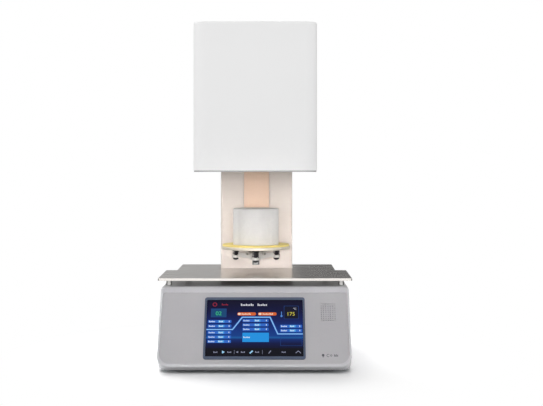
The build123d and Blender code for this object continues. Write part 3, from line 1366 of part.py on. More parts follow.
# ------------------------------------------------------------------ electrics
def supply_room(height, side):
    """The place of the power supply, or of the heat sink on the other side."""
    x0, x1 = sorted((side * SUPPLY_INNER_X, side * (SUPPLY_INNER_X + SUPPLY_WIDTH)))
    return block(x0, x1, SUPPLY_FRONT_Y, SUPPLY_FRONT_Y + SUPPLY_LENGTH, PAN_TOP, PAN_TOP + height)


def power_supply():
    """The boxed power supply on the pan, with slots along its top."""
    case = supply_room(SUPPLY_HEIGHT, -1)
    case = chamfer(case.faces().sort_by(Axis.Z)[-1].edges(), 1)
    x = -(SUPPLY_INNER_X + SUPPLY_WIDTH / 2)
    half = SUPPLY_WIDTH * 0.3
    top = PAN_TOP + SUPPLY_HEIGHT
    for n in range(6):
        y = SUPPLY_FRONT_Y + SUPPLY_LENGTH * (n + 1) / 7
        case -= block(x - half, x + half, y - 2, y + 2, top - 1.5, top + 1)
    return case


def heat_sink():
    """The finned heat sink of the heater's power stage."""
    sink = supply_room(SUPPLY_HEIGHT, 1)
    step = (SUPPLY_WIDTH - FIN_THICK) / (FIN_COUNT - 1)
    for n in range(FIN_COUNT - 1):
        x0 = SUPPLY_INNER_X + n * step + FIN_THICK
        x1 = SUPPLY_INNER_X + (n + 1) * step
        y0, y1 = SUPPLY_FRONT_Y - 1, SUPPLY_FRONT_Y + SUPPLY_LENGTH + 1
        sink -= block(x0, x1, y0, y1, PAN_TOP + SINK_FLOOR, PAN_TOP + SUPPLY_HEIGHT + 1)
    return sink


def control_board():
    """The control board on its posts, with its transformer, relays and plugs."""
    y0 = BOARD_FRONT_Y
    y1 = y0 + BOARD_LENGTH
    top = BOARD_TOP
    board = block(-BOARD_HALF_WIDTH, BOARD_HALF_WIDTH, y0, y1, BOARD_LOW, top)
    left = BOARD_MARGIN - BOARD_HALF_WIDTH
    rear = y1 - BOARD_MARGIN
    front = rear - TRANSFORMER_DEPTH
    board += block(left, left + TRANSFORMER_WIDTH, front, rear, top, top + TRANSFORMER_HEIGHT)
    for n in range(RELAY_COUNT):
        x = BOARD_HALF_WIDTH - RELAY_WIDTH - n * RELAY_PITCH
        board += block(x - RELAY_WIDTH, x, rear - RELAY_DEPTH, rear, top, top + RELAY_HEIGHT)
    low = y0 + PLUG_INSET
    for n in range(PLUG_COUNT):
        x = (n - PLUG_COUNT / 2) * PLUG_PITCH + (PLUG_PITCH - PLUG_WIDTH) / 2
        board += block(x, x + PLUG_WIDTH, low, low + PLUG_DEPTH, top, top + PLUG_HEIGHT)
    middle = y0 + BOARD_LENGTH * 0.4
    half = CHIP_WIDTH / 2
    board += block(-half, half, middle - half, middle + half, top, top + CHIP_HEIGHT)
    for n in range(CAPACITOR_COUNT):
        x = BOARD_HALF_WIDTH - (n + 1) * CAPACITOR_PITCH
        board += rod(CAPACITOR_RADIUS, top, top + CAPACITOR_HEIGHT, x, middle)
    return board


# ------------------------------------------------------------------ rear fittings
def at_fan(shape):
    """A fan piece, built about +Z from its inner face, put behind the back wall."""
    return Pos(FAN_X, BASE_INNER_BACK - FAN_DEPTH, FAN_Z) * REAR * shape


def fan_frame():
    """The square frame of the cooling fan with the struts and axle of its motor."""
    frame = block(-FAN_HALF, FAN_HALF, -FAN_HALF, FAN_HALF, 0, FAN_DEPTH)
    frame = fillet(frame.edges().filter_by(Axis.Z), 3)
    frame -= rod(FAN_BORE, -1, FAN_DEPTH + 1)
    frame += rod(FAN_HUB - 1, 0, FAN_STRUT)
    for turn in (45, 135, 225, 315):
        strut = block(0, FAN_BORE + 1, -FAN_STRUT / 2, FAN_STRUT / 2, 0, FAN_STRUT)
        frame += Rot(0, 0, turn) * strut
    return at_fan(frame + rod(FAN_AXLE, FAN_STRUT, FAN_DEPTH - 4))


def fan_rotor():
    """The bladed rotor on the fan's axle."""
    low = FAN_STRUT + SLIDING_GAP
    high = FAN_DEPTH - 2
    rotor = rod(FAN_HUB, low, high)
    for n in range(FAN_BLADES):
        reach = FAN_BORE - FAN_TIP_GAP
        blade = block(FAN_HUB - 1, reach, -FAN_BLADE_CHORD / 2, FAN_BLADE_CHORD / 2, 0, FAN_BLADE_THICK)
        blade = Pos(0, 0, (low + high) / 2) * Rot(FAN_BLADE_PITCH, 0, 0) * blade
        rotor += Rot(0, 0, n * 360 / FAN_BLADES) * blade
    rotor &= rod(FAN_BORE - FAN_TIP_GAP, low, high)
    return at_fan(rotor - rod(FAN_AXLE + SLIDING_GAP, low - 1, FAN_DEPTH - 4 + SLIDING_GAP))


def at_fitting(x, shape):
    """A rear fitting, built about +Z from the outer face of the wall, put in place."""
    return Pos(x, BASE_BACK_Y, FITTING_Z) * REAR * shape


def power_inlet():
    """The three-pin mains socket with its flange, shroud and blades."""
    flange_half = INLET_FLANGE_HALF
    flange_tall = INLET_FLANGE_HALF_HEIGHT
    flange = block(-flange_half, flange_half, -flange_tall, flange_tall, 0, INLET_FLANGE)
    flange = fillet(flange.edges().filter_by(Axis.Z), 5)
    for side in (-1, 1):
        flange -= rod(SCREW_SHANK_RADIUS + SLIDING_GAP, -1, INLET_FLANGE + 1, side * INLET_SCREW_X)
    depth = INLET_DEPTH + INLET_FLOOR - INLET_FLANGE
    body = block(-INLET_HALF_WIDTH, INLET_HALF_WIDTH, -INLET_HALF_HEIGHT, INLET_HALF_HEIGHT, -depth, 0)
    floor = INLET_FLANGE - INLET_DEPTH
    wide = INLET_HALF_WIDTH - INLET_WALL
    tall = INLET_HALF_HEIGHT - INLET_WALL
    well = block(-wide, wide, -tall, tall, floor, INLET_FLANGE + 1)
    upper = well.edges().filter_by(Axis.Z).group_by(Axis.Y)[0]
    inlet = flange + body - chamfer(upper, INLET_CORNER)
    for x, y in ((-INLET_PIN_SPACING, 2), (0, -2), (INLET_PIN_SPACING, 2)):
        inlet += block(x - 1, x + 1, y - 2, y + 2, floor - 1, floor + INLET_PIN_LENGTH)
        inlet += block(x - 0.4, x + 0.4, y - 2, y + 2, -depth - 6, -depth)
    return at_fitting(INLET_X, inlet)


def switch_frame():
    """The frame of the mains switch, with the ears that the rocker turns in."""
    wide = SWITCH_HALF_WIDTH
    tall = SWITCH_HALF_HEIGHT
    lap = SWITCH_FLANGE_LAP
    frame = block(-wide - lap, wide + lap, -tall - lap, tall + lap, 0, SWITCH_FLANGE)
    frame = chamfer(frame.faces().sort_by(Axis.Z)[-1].edges(), 0.5)
    frame += block(-wide, wide, -tall, tall, -SWITCH_DEPTH, 0)
    inner_wide = wide - SWITCH_WALL
    inner_tall = tall - SWITCH_WALL / 2
    floor = -SWITCH_DEPTH + 2
    frame -= block(-inner_wide, inner_wide, -inner_tall, inner_tall, floor, SWITCH_FLANGE + 1)
    for x in (-4, 4):
        frame += block(x - 0.4, x + 0.4, -3, 3, -SWITCH_DEPTH - 7, -SWITCH_DEPTH)
    pins = Pos(0, 0, -ROCKER_INSET) * Rot(0, 90, 0) * Cylinder(ROCKER_PIN + 0.2, 2 * wide)
    return at_fitting(SWITCH_X, frame - pins)


def switch_rocker():
    """The rocker of the mains switch, tilted to its off side."""
    half_width = SWITCH_HALF_WIDTH - SWITCH_WALL - ROCKER_GAP
    reach = SWITCH_HALF_HEIGHT - SWITCH_WALL / 2 - 1.1
    profile = Polygon(
        (-reach, ROCKER_CREST),
        (0, ROCKER_VALLEY),
        (reach, ROCKER_CREST),
        (reach - 1, 0),
        (reach / 3, -ROCKER_TAIL),
        (-reach / 3, -ROCKER_TAIL),
        (1 - reach, 0),
        align=None,
    )
    rocker = extrude(Plane.YZ * profile, half_width, both=True)
    rocker += Rot(0, 90, 0) * Cylinder(ROCKER_PIN, 2 * (SWITCH_HALF_WIDTH - 0.2))
    return at_fitting(SWITCH_X, Pos(0, 0, -ROCKER_INSET) * Rot(ROCKER_TILT, 0, 0) * rocker)


def fuse_places():
    """The two fuse holders, side by side."""
    return [FUSE_X - FUSE_SPACING / 2, FUSE_X + FUSE_SPACING / 2]


def fuse_holders():
    """Two panel fuse holders with slotted bayonet caps."""
    holder = rod(FUSE_BODY, -FUSE_DEPTH, 0) + rod(FUSE_CAP, 0, FUSE_CAP_HEIGHT)
    holder = chamfer(holder.edges().group_by(Axis.Z)[-1], 0.8)
    half = FUSE_SLOT / 2
    holder -= block(-FUSE_CAP, FUSE_CAP, -half, half, FUSE_CAP_HEIGHT - 1.5, FUSE_CAP_HEIGHT + 1)
    return [at_fitting(x, holder) for x in fuse_places()]


# ------------------------------------------------------------------ writing
NODES = [
    base_housing, control_panel, display_bezel, touch_glass, lcd_module, speaker,
    bottom_pan, rubber_feet, foot_screws, work_plate, plate_standoffs,
    column_shell, guide_channel, column_rear_cover, column_angles, slider_bar,
    table_arm, lift_screws, spider, table_springs, hub_knob, flange_studs,
    table_flange, table_gasket, firing_pedestal, carriage_block, carriage_bushes,
    guide_rods, rod_blocks, lead_nut, lead_screw, thrust_block, lift_motor,
    motor_shaft, motor_bracket, shaft_coupling, head_shell, head_rear_cover,
    cover_screws, head_bottom_plate, head_trim_plate, seal_seat, muffle_case, insulation_block,
    quartz_liner, heater_coil, heater_leads, thermocouple, vacuum_elbow, vacuum_hose,
    vacuum_port, power_supply, heat_sink, control_board, fan_frame, fan_rotor,
    power_inlet, switch_frame, switch_rocker, fuse_holders,
]


def main():
    """Writes one file per sub-part, a list of solids as one group."""
    os.makedirs("parts", exist_ok=True)
    for make in NODES:
        made = make()
        shape = Compound(children=made) if isinstance(made, list) else made
        export_step(shape, f"parts/{make.__name__}.step")


main()
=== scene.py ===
"""Dresses the dental firing furnace: finishes, the lit display, printed marks, light and camera.

Lengths in fields and tables are millimetres in the part's frame, with +Z up, the operator at -Y and
the origin below the firing pedestal. Meshes are made in metres in that frame.
"""

from __future__ import annotations

import logging
import math
from dataclasses import dataclass, field
from enum import Enum

import bpy
import numpy as np
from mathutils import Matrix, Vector


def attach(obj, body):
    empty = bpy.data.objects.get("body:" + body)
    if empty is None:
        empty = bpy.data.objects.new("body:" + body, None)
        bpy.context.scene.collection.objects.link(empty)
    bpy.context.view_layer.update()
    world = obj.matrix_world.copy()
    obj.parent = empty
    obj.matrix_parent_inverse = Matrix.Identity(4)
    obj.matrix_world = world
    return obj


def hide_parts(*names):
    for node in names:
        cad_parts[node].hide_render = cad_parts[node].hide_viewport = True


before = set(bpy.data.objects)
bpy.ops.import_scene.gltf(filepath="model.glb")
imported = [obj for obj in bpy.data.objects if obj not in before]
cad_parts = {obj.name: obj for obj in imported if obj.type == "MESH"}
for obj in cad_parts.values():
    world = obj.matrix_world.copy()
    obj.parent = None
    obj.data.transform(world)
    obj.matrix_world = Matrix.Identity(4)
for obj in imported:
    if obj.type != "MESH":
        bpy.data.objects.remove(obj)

LOG = logging.getLogger("furnace")
MM = 0.001
Point = tuple[float, float, float]


# ------------------------------------------------------------------ small tools
def linear(code: str) -> tuple[float, float, float, float]:
    """An sRGB hex colour as linear RGBA: each channel over 255, with the sRGB curve undone."""
    share = np.array([int(code[n : n + 2], 16) for n in (1, 3, 5)]) / 255
    even = np.where(share <= 0.04045, share / 12.92, ((share + 0.055) / 1.055) ** 2.4)
    return (float(even[0]), float(even[1]), float(even[2]), 1.0)


def add(
    tree: bpy.types.NodeTree,
    kind: str,
    links: dict[str | int, bpy.types.NodeSocket] | None = None,
    values: dict[str | int, object] | None = None,
    **settings: object,
) -> bpy.types.Node:
    """Adds one shader node with its settings, its constants and what feeds it.

    Args:
        tree: node tree of a material or the world.
        kind: the node's type, without the words ShaderNode in front.
        links: input name or number to the socket that feeds it.
        values: input name or number to its constant.
        **settings: the node's own properties.

    Returns:
        The new node.
    """
    made = tree.nodes.new("ShaderNode" + kind)
    for name, value in settings.items():
        setattr(made, name, value)
    for name, value in (values or {}).items():
        made.inputs[name].default_value = value
    for name, socket in (links or {}).items():
        tree.links.new(socket, made.inputs[name])
    return made


def new_material(name: str) -> tuple[bpy.types.Material, bpy.types.NodeTree]:
    """A new material and its node tree, emptied."""
    made = bpy.data.materials.new(name)
    made.use_nodes = True
    made.node_tree.nodes.clear()
    return made, made.node_tree


def set_up(name: str, data: bpy.types.ID) -> bpy.types.Object:
    """A new object of some data, linked into the scene."""
    made = bpy.data.objects.new(name, data)
    bpy.context.scene.collection.objects.link(made)
    return made


# ------------------------------------------------------------------ finishes
class Grain(Enum):
    """The fine pattern that the making of a surface leaves."""

    SPRAYED = "orange peel of a sprayed and stoved coat"
    MOULDED = "fine even texture of a moulding tool"
    BRUSHED = "long scratches of a belt"
    TURNED = "rings of a lathe tool round an axis"
    CAST = "coarse grains of a pressed or cast body"
    FIBRE = "short fibres of felted wool"


# The values that most of a noise lies between, for the fine pattern and for the soft patches.
FINE_LOW, FINE_HIGH = 0.3, 0.7
PATCH_LOW, PATCH_HIGH = 0.35, 0.65
# How finely a noise breaks up, for the finishes that differ from the usual 3 octaves.
OCTAVES = {Grain.SPRAYED: 1.0, Grain.MOULDED: 2.0, Grain.FIBRE: 5.0}
# Radius in mm that sharp edges are shaded with.
SOFT_EDGE = 0.3


@dataclass(frozen=True)
class Finish:
    """One real surface: its colours, its gloss and the pattern that its making left.

    Attributes:
        name: the finish in plain words, which names the material.
        colour: main colour, sRGB hex.
        shade: second colour, which the main one drifts to in soft patches.
        metallic: 1 for bare metal, 0 for paint, plastic and ceramic.
        rough: lowest and highest roughness, which the fine pattern runs between.
        grain: how the surface was made.
        pitch: size of one grain in mm, across the scratches of a brushed surface.
        depth: height of the fine pattern in mm.
        run: brushed only, length of a scratch in mm along X, Y and Z, 0 for across.
        drift: size in mm of the soft patches of colour.
        extra: further constants of the surface shader.
    """

    name: str
    colour: str
    shade: str
    metallic: float = 0.0
    rough: tuple[float, float] = (0.4, 0.5)
    grain: Grain = Grain.MOULDED
    pitch: float = 0.8
    depth: float = 0.01
    run: Point = (0.0, 0.0, 0.0)
    drift: float = 60.0
    extra: tuple[tuple[str, object], ...] = ()

    def material(self) -> bpy.types.Material:
        """The material, made the first time that it is asked for."""
        found = bpy.data.materials.get(self.name)
        if found:
            return found
        made, tree = new_material(self.name)
        self.wire(tree)
        made.diffuse_color = linear(self.colour)
        return made

    def pattern_place(self, tree: bpy.types.NodeTree) -> bpy.types.NodeSocket:
        """Where the fine pattern is looked up.

        A brushed surface stretches the place along its scratches. A turned one swaps the place for
        distance from the pedestal's axis and height along it, so the pattern closes into rings.

        Args:
            tree: the material's node tree.

        Returns:
            The socket with the place, in grains.
        """
        spot = add(tree, "TexCoord").outputs["Object"]
        per_metre = 1000 / self.pitch
        if self.grain is Grain.TURNED:
            across = add(tree, "VectorMath", {0: spot}, {1: (1, 1, 0)}, operation="MULTIPLY")
            radius = add(tree, "VectorMath", {0: across.outputs[0]}, operation="LENGTH")
            height = add(tree, "VectorMath", {0: spot}, {1: (0, 0, 1)}, operation="DOT_PRODUCT")
            joined = add(tree, "CombineXYZ", {0: radius.outputs["Value"], 1: height.outputs["Value"]})
            spot, scale = joined.outputs[0], (per_metre, per_metre, 1)
        elif self.grain is Grain.BRUSHED:
            scale = tuple(1000 / length if length else per_metre for length in self.run)
        else:
            scale = (per_metre,) * 3
        return add(tree, "Mapping", {"Vector": spot}, {"Scale": scale}).outputs[0]

    def wire(self, tree: bpy.types.NodeTree) -> None:
        """Builds the shader: soft patches of colour, a fine pattern in gloss and height, soft edges.

        Args:
            tree: the material's empty node tree.
        """
        place = self.pattern_place(tree)
        octaves = OCTAVES.get(self.grain, 3.0)
        fine = add(tree, "TexNoise", {"Vector": place}, {"Scale": 1.0, "Detail": octaves}).outputs[0]
        spot = add(tree, "TexCoord").outputs["Object"]
        patches = add(tree, "TexNoise", {"Vector": spot}, {"Scale": 1000 / self.drift, "Detail": 2.0})
        patch_span = {"From Min": PATCH_LOW, "From Max": PATCH_HIGH}
        share = add(tree, "MapRange", {0: patches.outputs[0]}, patch_span)
        both = add(tree, "Math", {0: share.outputs[0], 1: fine}, operation="MULTIPLY")
        # Inputs 6 and 7 of a colour mix are its two colours.
        colours = {6: linear(self.colour), 7: linear(self.shade)}
        tint = add(tree, "Mix", {0: both.outputs[0]}, colours, data_type="RGBA")
        smoothest, roughest = self.rough
        gloss_span = {"From Min": FINE_LOW, "From Max": FINE_HIGH, "To Min": smoothest, "To Max": roughest}
        gloss = add(tree, "MapRange", {0: fine}, gloss_span)
        soft = add(tree, "Bevel", None, {"Radius": SOFT_EDGE * MM}, samples=4)
        height = {"Strength": 1.0, "Distance": self.depth * MM}
        bump = add(tree, "Bump", {"Height": fine, "Normal": soft.outputs[0]}, height)
        surface = add(
            tree,
            "BsdfPrincipled",
            {"Base Color": tint.outputs[2], "Roughness": gloss.outputs[0], "Normal": bump.outputs[0]},
            {"Metallic": self.metallic, **dict(self.extra)},
        )
        add(tree, "OutputMaterial", {"Surface": surface.outputs[0]})


# Two-pack silver paint over the cast housing: pale grey, with a soft sheen and a faint orange peel.
SILVER_PAINT = Finish(
    "silver_sprayed_paint", "#BABABD", "#B0B0B4", 0.2, (0.36, 0.46), Grain.SPRAYED, 1.1, 0.012, drift=90,
    extra=(("Coat Weight", 0.6), ("Coat Roughness", 0.12)),
)
# The panel's lacquer is flatter and a shade darker than the housing's paint.
PANEL_LACQUER = Finish(
    "grey_satin_lacquer", "#A8A7A9", "#9F9EA1", 0.15, (0.42, 0.5), Grain.MOULDED, 0.45, 0.006, drift=110,
)
# Moulded ABS in blue grey, satin.
BEZEL_ABS = Finish(
    "blue_grey_moulded_abs", "#4B5569", "#434D61", 0.0, (0.45, 0.55), Grain.MOULDED, 0.5, 0.005,
    extra=(("Specular IOR Level", 0.25),),
)
# Glass printed black behind: deep black with a sharp gloss.
BLACK_GLASS = Finish(
    "black_printed_glass", "#06070C", "#090A12", 0.0, (0.03, 0.06), Grain.MOULDED, 8.0, 0.0005,
    extra=(("Specular IOR Level", 0.3),),
)
# Blackened steel frame and board of the display.
DISPLAY_FRAME = Finish("black_stamped_frame", "#1A1C20", "#23262B", 0.4, (0.4, 0.5), Grain.CAST, 1.5, 0.01)
# Hot-dip zinc on sheet: dull silver with a patchy spangle.
ZINC_SHEET = Finish(
    "zinc_plated_sheet", "#A6AAAC", "#8C9194", 0.9, (0.35, 0.55), Grain.CAST, 5.0, 0.008, drift=12,
)
# Moulded rubber: near black, dull, slightly dusty.
FOOT_RUBBER = Finish("black_moulded_rubber", "#1B1B1D", "#2A2A2B", 0.0, (0.72, 0.85), Grain.CAST, 0.9, 0.03)
# Nickel-plated screws and fittings: bright and smooth.
SCREW_NICKEL = Finish(
    "nickel_plated_screw", "#C6C4C0", "#ABA9A5", 1.0, (0.18, 0.28), Grain.MOULDED, 0.5, 0.004,
)
# Belt-ground stainless sheet: long scratches from side to side. The real ones are 0.1 mm apart and
# would not show, so they are drawn 0.5 mm apart.
PLATE_STEEL = Finish(
    "belt_ground_stainless", "#D6D2CE", "#C6C1BD", 1.0, (0.2, 0.3),
    Grain.BRUSHED, 0.5, 0.002, run=(90, 0, 0), drift=140,
)
# Turned and polished steel: near mirror, its rings too fine to show.
POLISHED_STEEL = Finish(
    "polished_turned_steel", "#C4C3C1", "#AFAEAC", 1.0, (0.07, 0.14), Grain.MOULDED, 0.6, 0.001,
)
# Ground steel sheet of the column: satin, warm grey, scratches from side to side.
COLUMN_STEEL = Finish(
    "satin_ground_steel", "#E2D8D0", "#D6CCC4", 0.4, (0.4, 0.52),
    Grain.BRUSHED, 0.7, 0.004, run=(110, 0, 0), drift=150,
)
# Drawn bar with a warm tone, its scratches along its length.
DRAWN_BAR = Finish(
    "warm_drawn_bar", "#EDD0B9", "#E4C4AC", 0.4, (0.4, 0.5),
    Grain.BRUSHED, 0.6, 0.003, run=(0, 0, 140), drift=120,
)
# Milled steel of the arm and hub: bright grey, with fine tool rings round the pedestal's axis.
MILLED_STEEL = Finish("milled_steel", "#CFCCC7", "#B9B6B1", 0.55, (0.3, 0.42), Grain.TURNED, 0.35, 0.004)
# Oil-blackened spring wire.
SPRING_STEEL = Finish(
    "oil_blackened_spring_wire", "#39383A", "#232325", 0.9, (0.28, 0.42), Grain.CAST, 0.5, 0.003,
)
# Turned flange and seal seat: bright rings round the pedestal's axis.
TURNED_FLANGE = Finish(
    "turned_bright_steel", "#E0D8C8", "#D2CABA", 0.5, (0.28, 0.4), Grain.TURNED, 0.4, 0.003,
)
# Moulded silicone ring: warm yellow, satin and a little waxy.
SILICONE = Finish(
    "yellow_moulded_silicone", "#F2DE86", "#EAD070", 0.0, (0.42, 0.52), Grain.MOULDED, 0.7, 0.01, drift=30,
    extra=(("Subsurface Weight", 0.1), ("Subsurface Scale", 0.002), ("Subsurface Radius", (1.0, 0.6, 0.2))),
)
# Fired alumina ceramic: satin white with a fine grain.
CERAMIC = Finish(
    "fired_white_ceramic", "#E2E0DE", "#D8D6D4", 0.0, (0.4, 0.5), Grain.CAST, 0.8, 0.008, drift=35,
)
# Vacuum-formed ceramic fibre: soft, fibrous and off-white.
FIBRE_BLOCK = Finish(
    "felted_ceramic_fibre", "#F0EEE7", "#E2DED4", 0.0, (0.9, 1.0), Grain.FIBRE, 1.6, 0.12, drift=25,
)
# Milled aluminium blocks.
ALUMINIUM = Finish(
    "milled_aluminium", "#C3C5C8", "#ACAEB2", 1.0, (0.26, 0.4),
    Grain.BRUSHED, 0.5, 0.004, run=(40, 0, 0), drift=50,
)
# Hardened and ground shafts: mirror bright.
GROUND_SHAFT = Finish(
    "ground_shaft_steel", "#CFCFD0", "#BDBDBF", 1.0, (0.06, 0.12), Grain.MOULDED, 0.4, 0.001,
)
# Sintered bronze nut and bushes.
BRONZE = Finish("sintered_bronze", "#B0874A", "#8F6A35", 1.0, (0.32, 0.48), Grain.CAST, 0.5, 0.01, drift=15)
# Black stoved enamel of the motor.
MOTOR_ENAMEL = Finish(
    "black_motor_enamel", "#1C1D1F", "#2B2C2F", 0.2, (0.35, 0.5), Grain.SPRAYED, 1.0, 0.01,
)
# White polyester powder coat: even, satin, with a fine orange peel.
POWDER_COAT = Finish(
    "white_powder_coat", "#FAFAFA", "#F6F6F6", 0.0, (0.4, 0.5), Grain.SPRAYED, 1.4, 0.018, drift=160,
)
# Rolled stainless sheet under the head, a darker grey than the other steel: its own dull grey with painted
# shade added, so that its edge shows as the dark line under the head.
TRIM_SHEET_WITH_PAINTED_SHADE = Finish(
    "rolled_stainless_sheet_painted_shade", "#9A9A99", "#8A8A89", 0.8, (0.35, 0.5),
    Grain.BRUSHED, 0.6, 0.002, run=(90, 0, 0), drift=120,
)
# Stainless case of the muffle, tinted straw by heat.
MUFFLE_SHEET = Finish(
    "heat_tinted_stainless", "#B8B2A6", "#A38F70", 1.0, (0.25, 0.4), Grain.CAST, 2.0, 0.003, drift=35,
)
# Fused quartz: clear and slightly milky.
QUARTZ = Finish(
    "fused_quartz_tube", "#F3F5F7", "#E9EDF0", 0.0, (0.05, 0.12), Grain.MOULDED, 3.0, 0.002,
    extra=(("Transmission Weight", 0.85), ("IOR", 1.46)),
)
# Resistance wire with a dark scale of oxide.
HEATER_ALLOY = Finish(
    "oxidised_resistance_wire", "#5C4B41", "#3D332D", 0.7, (0.45, 0.65), Grain.CAST, 0.6, 0.02,
)
# Sheath of the temperature probe: nickel alloy, discoloured by heat.
PROBE_SHEATH = Finish(
    "nickel_alloy_sheath", "#8D8780", "#6B625A", 0.9, (0.3, 0.45), Grain.CAST, 0.8, 0.006, drift=12,
)
# Extruded black silicone hose.
HOSE_RUBBER = Finish(
    "black_extruded_hose", "#1D1D1F", "#29292B", 0.0, (0.5, 0.62), Grain.MOULDED, 0.6, 0.01,
)
# Solder mask over a copper board.
SOLDER_MASK = Finish(
    "green_solder_mask", "#1E5B36", "#2B7A48", 0.1, (0.3, 0.42), Grain.CAST, 2.2, 0.02, drift=6,
)
# Moulded nylon of the rear fittings: black, satin.
FITTING_NYLON = Finish(
    "black_moulded_nylon", "#1E1F21", "#28292C", 0.0, (0.34, 0.45), Grain.MOULDED, 0.5, 0.01,
)
# Screen-printed ink on the panel.
PRINT_INK = Finish("grey_printing_ink", "#3E4146", "#36393E", 0.0, (0.5, 0.6), Grain.MOULDED, 0.4, 0.001)
# White ink of the switch's marks.
WHITE_INK = Finish("white_printing_ink", "#E9E9E6", "#DDDDDA", 0.0, (0.5, 0.6), Grain.MOULDED, 0.4, 0.001)


class Tint(Enum):
    """Colours of the display's picture, sRGB hex. The ground has one for each place up the slope in mm."""

    GROUND = (
        (18.0, "#04040E"), (31.0, "#050620"), (40.0, "#061040"), (47.0, "#09286A"), (50.4, "#15589C"),
        (52.5, "#0C3C84"), (62.0, "#0A327C"), (80.0, "#071A58"), (96.0, "#050A38"), (117.0, "#04021E"),
    )
    BAR = "#04040F"
    GLOW = "#1B4FA8"
    CURVE = "#8CC4F4"
    ROW = "#2E66C4"
    VALUE = "#4AA0E0"
    BRIGHT_BOX = "#1E8FDC"
    WORD = "#D6E6F6"
    TITLE = "#D2D2DC"
    STOP = "#8C1C32"
    FRAME = "#173C7C"
    TEAL_BOX = "#124470"
    DARK_BOX = "#080A24"
    GREEN = "#3AC47C"
    YELLOW = "#CFC544"
    UNIT = "#D0D4E4"
    PILL = "#D2602C"
    PILL_WORD = "#F6D8C0"
    GAUGE = "#4F86D0"
    SIGN = "#8C90A8"
    BRIGHT_SIGN = "#9CD0F2"


@dataclass(frozen=True)
class Lit:
    """A lit colour of the display, even all over or shaded up the slope of the fascia.

    Attributes:
        name: name of the material.
        steps: places up the slope in mm, each with its sRGB hex colour. One step is an even colour.
    """

    name: str
    steps: tuple[tuple[float, str], ...]

    @classmethod
    def of(cls, name: str, tint: Tint) -> Lit:
        """The colour of a tint, whose single hex becomes one step."""
        return cls(name, tint.value if isinstance(tint.value, tuple) else ((0.0, tint.value),))

    def material(self) -> bpy.types.Material:
        """The material: dark glass that shines in its colour.

        The height up the slope is the dot product of the place and the slope's direction, and a
        colour ramp over it gives the shades.

        Returns:
            The material, made once.
        """
        found = bpy.data.materials.get(self.name)
        if found:
            return found
        made, tree = new_material(self.name)
        values = {
            "Base Color": linear("#020206"), "Roughness": 0.12, "Specular IOR Level": 0.12,
            "Emission Strength": 1.0, "Emission Color": linear(self.steps[0][1]),
        }
        surface = add(tree, "BsdfPrincipled", None, values)
        if len(self.steps) > 1:
            spot = add(tree, "TexCoord").outputs["Object"]
            start = FASCIA.place(np.zeros((1, 2)), 0.0)[0]
            moved = add(tree, "VectorMath", {0: spot}, {1: start.tolist()}, operation="SUBTRACT")
            rise = add(tree, "VectorMath", {0: moved.outputs[0]}, {1: FASCIA.up}, operation="DOT_PRODUCT")
            low, high = self.steps[0][0], self.steps[-1][0]
            span = {"From Min": low * MM, "From Max": high * MM}
            share = add(tree, "MapRange", {0: rise.outputs["Value"]}, span)
            ramp = add(tree, "ValToRGB", {0: share.outputs[0]})
            while len(ramp.color_ramp.elements) < len(self.steps):
                ramp.color_ramp.elements.new(0.5)
            for stop, (height, code) in zip(ramp.color_ramp.elements, self.steps):
                stop.position = (height - low) / (high - low)
                stop.color = linear(code)
            tree.links.new(ramp.outputs[0], surface.inputs["Emission Color"])
        add(tree, "OutputMaterial", {"Surface": surface.outputs[0]})
        return made


# ------------------------------------------------------------------ flat pictures
@dataclass(frozen=True)
class Face:
    """A flat face of the furnace that pictures are laid on.

    Attributes:
        origin: point in mm that the face is measured from.
        right: unit direction that a picture's first measure runs in.
        up: unit direction of its second measure.
        out: unit direction away from the face.
    """

    origin: Point
    right: Point
    up: Point
    out: Point

    def place(self, flat: np.ndarray, proud: float) -> np.ndarray:
        """Origin plus each measure times its direction, in metres.

        Args:
            flat: N by 2 points on the face, in mm.
            proud: how far they lie above the face, in mm.

        Returns:
            N by 3 points in metres.
        """
        both = np.asarray(flat, float) @ np.array([self.right, self.up], float)
        return (np.array(self.origin) + both + proud * np.array(self.out)) * MM


# The sloping front leans 36 degrees back. It is measured from the middle of its lower edge.
LEAN = math.radians(36.0)
FASCIA = Face(
    origin=(0.0, -183.0, 11.0),
    right=(1.0, 0.0, 0.0),
    up=(0.0, math.sin(LEAN), math.cos(LEAN)),
    out=(0.0, -math.cos(LEAN), math.sin(LEAN)),
)
# Printed marks lie this far above their face, in mm.
PRINT_LIFT = 0.03
# Left, right, low and high side of a box and the radius of its corners, in mm.
Box = tuple[float, float, float, float, float]
# Left, right, middle height and height of a word of strokes, in mm.
Word = tuple[float, float, float, float]
# What figures say, their height and their centre, in mm.
Figures = tuple[str, float, float, float]
# Centre, outer and inner radius of a ring in mm, and for an open one its start and turn in degrees.
Ring = tuple[float, ...]
# Where something starts and ends, in mm.
Span = tuple[float, float]
# Points of a line or of a filled shape, in mm.
Line = tuple[tuple[float, float], ...]


@dataclass
class Shape:
    """Flat points in mm with the faces over them, turned anticlockwise."""

    points: np.ndarray
    faces: list[tuple[int, ...]]

    def moved(self, right: float, up: float) -> Shape:
        """The same shape further right and up, in mm."""
        return Shape(self.points + (right, up), self.faces)


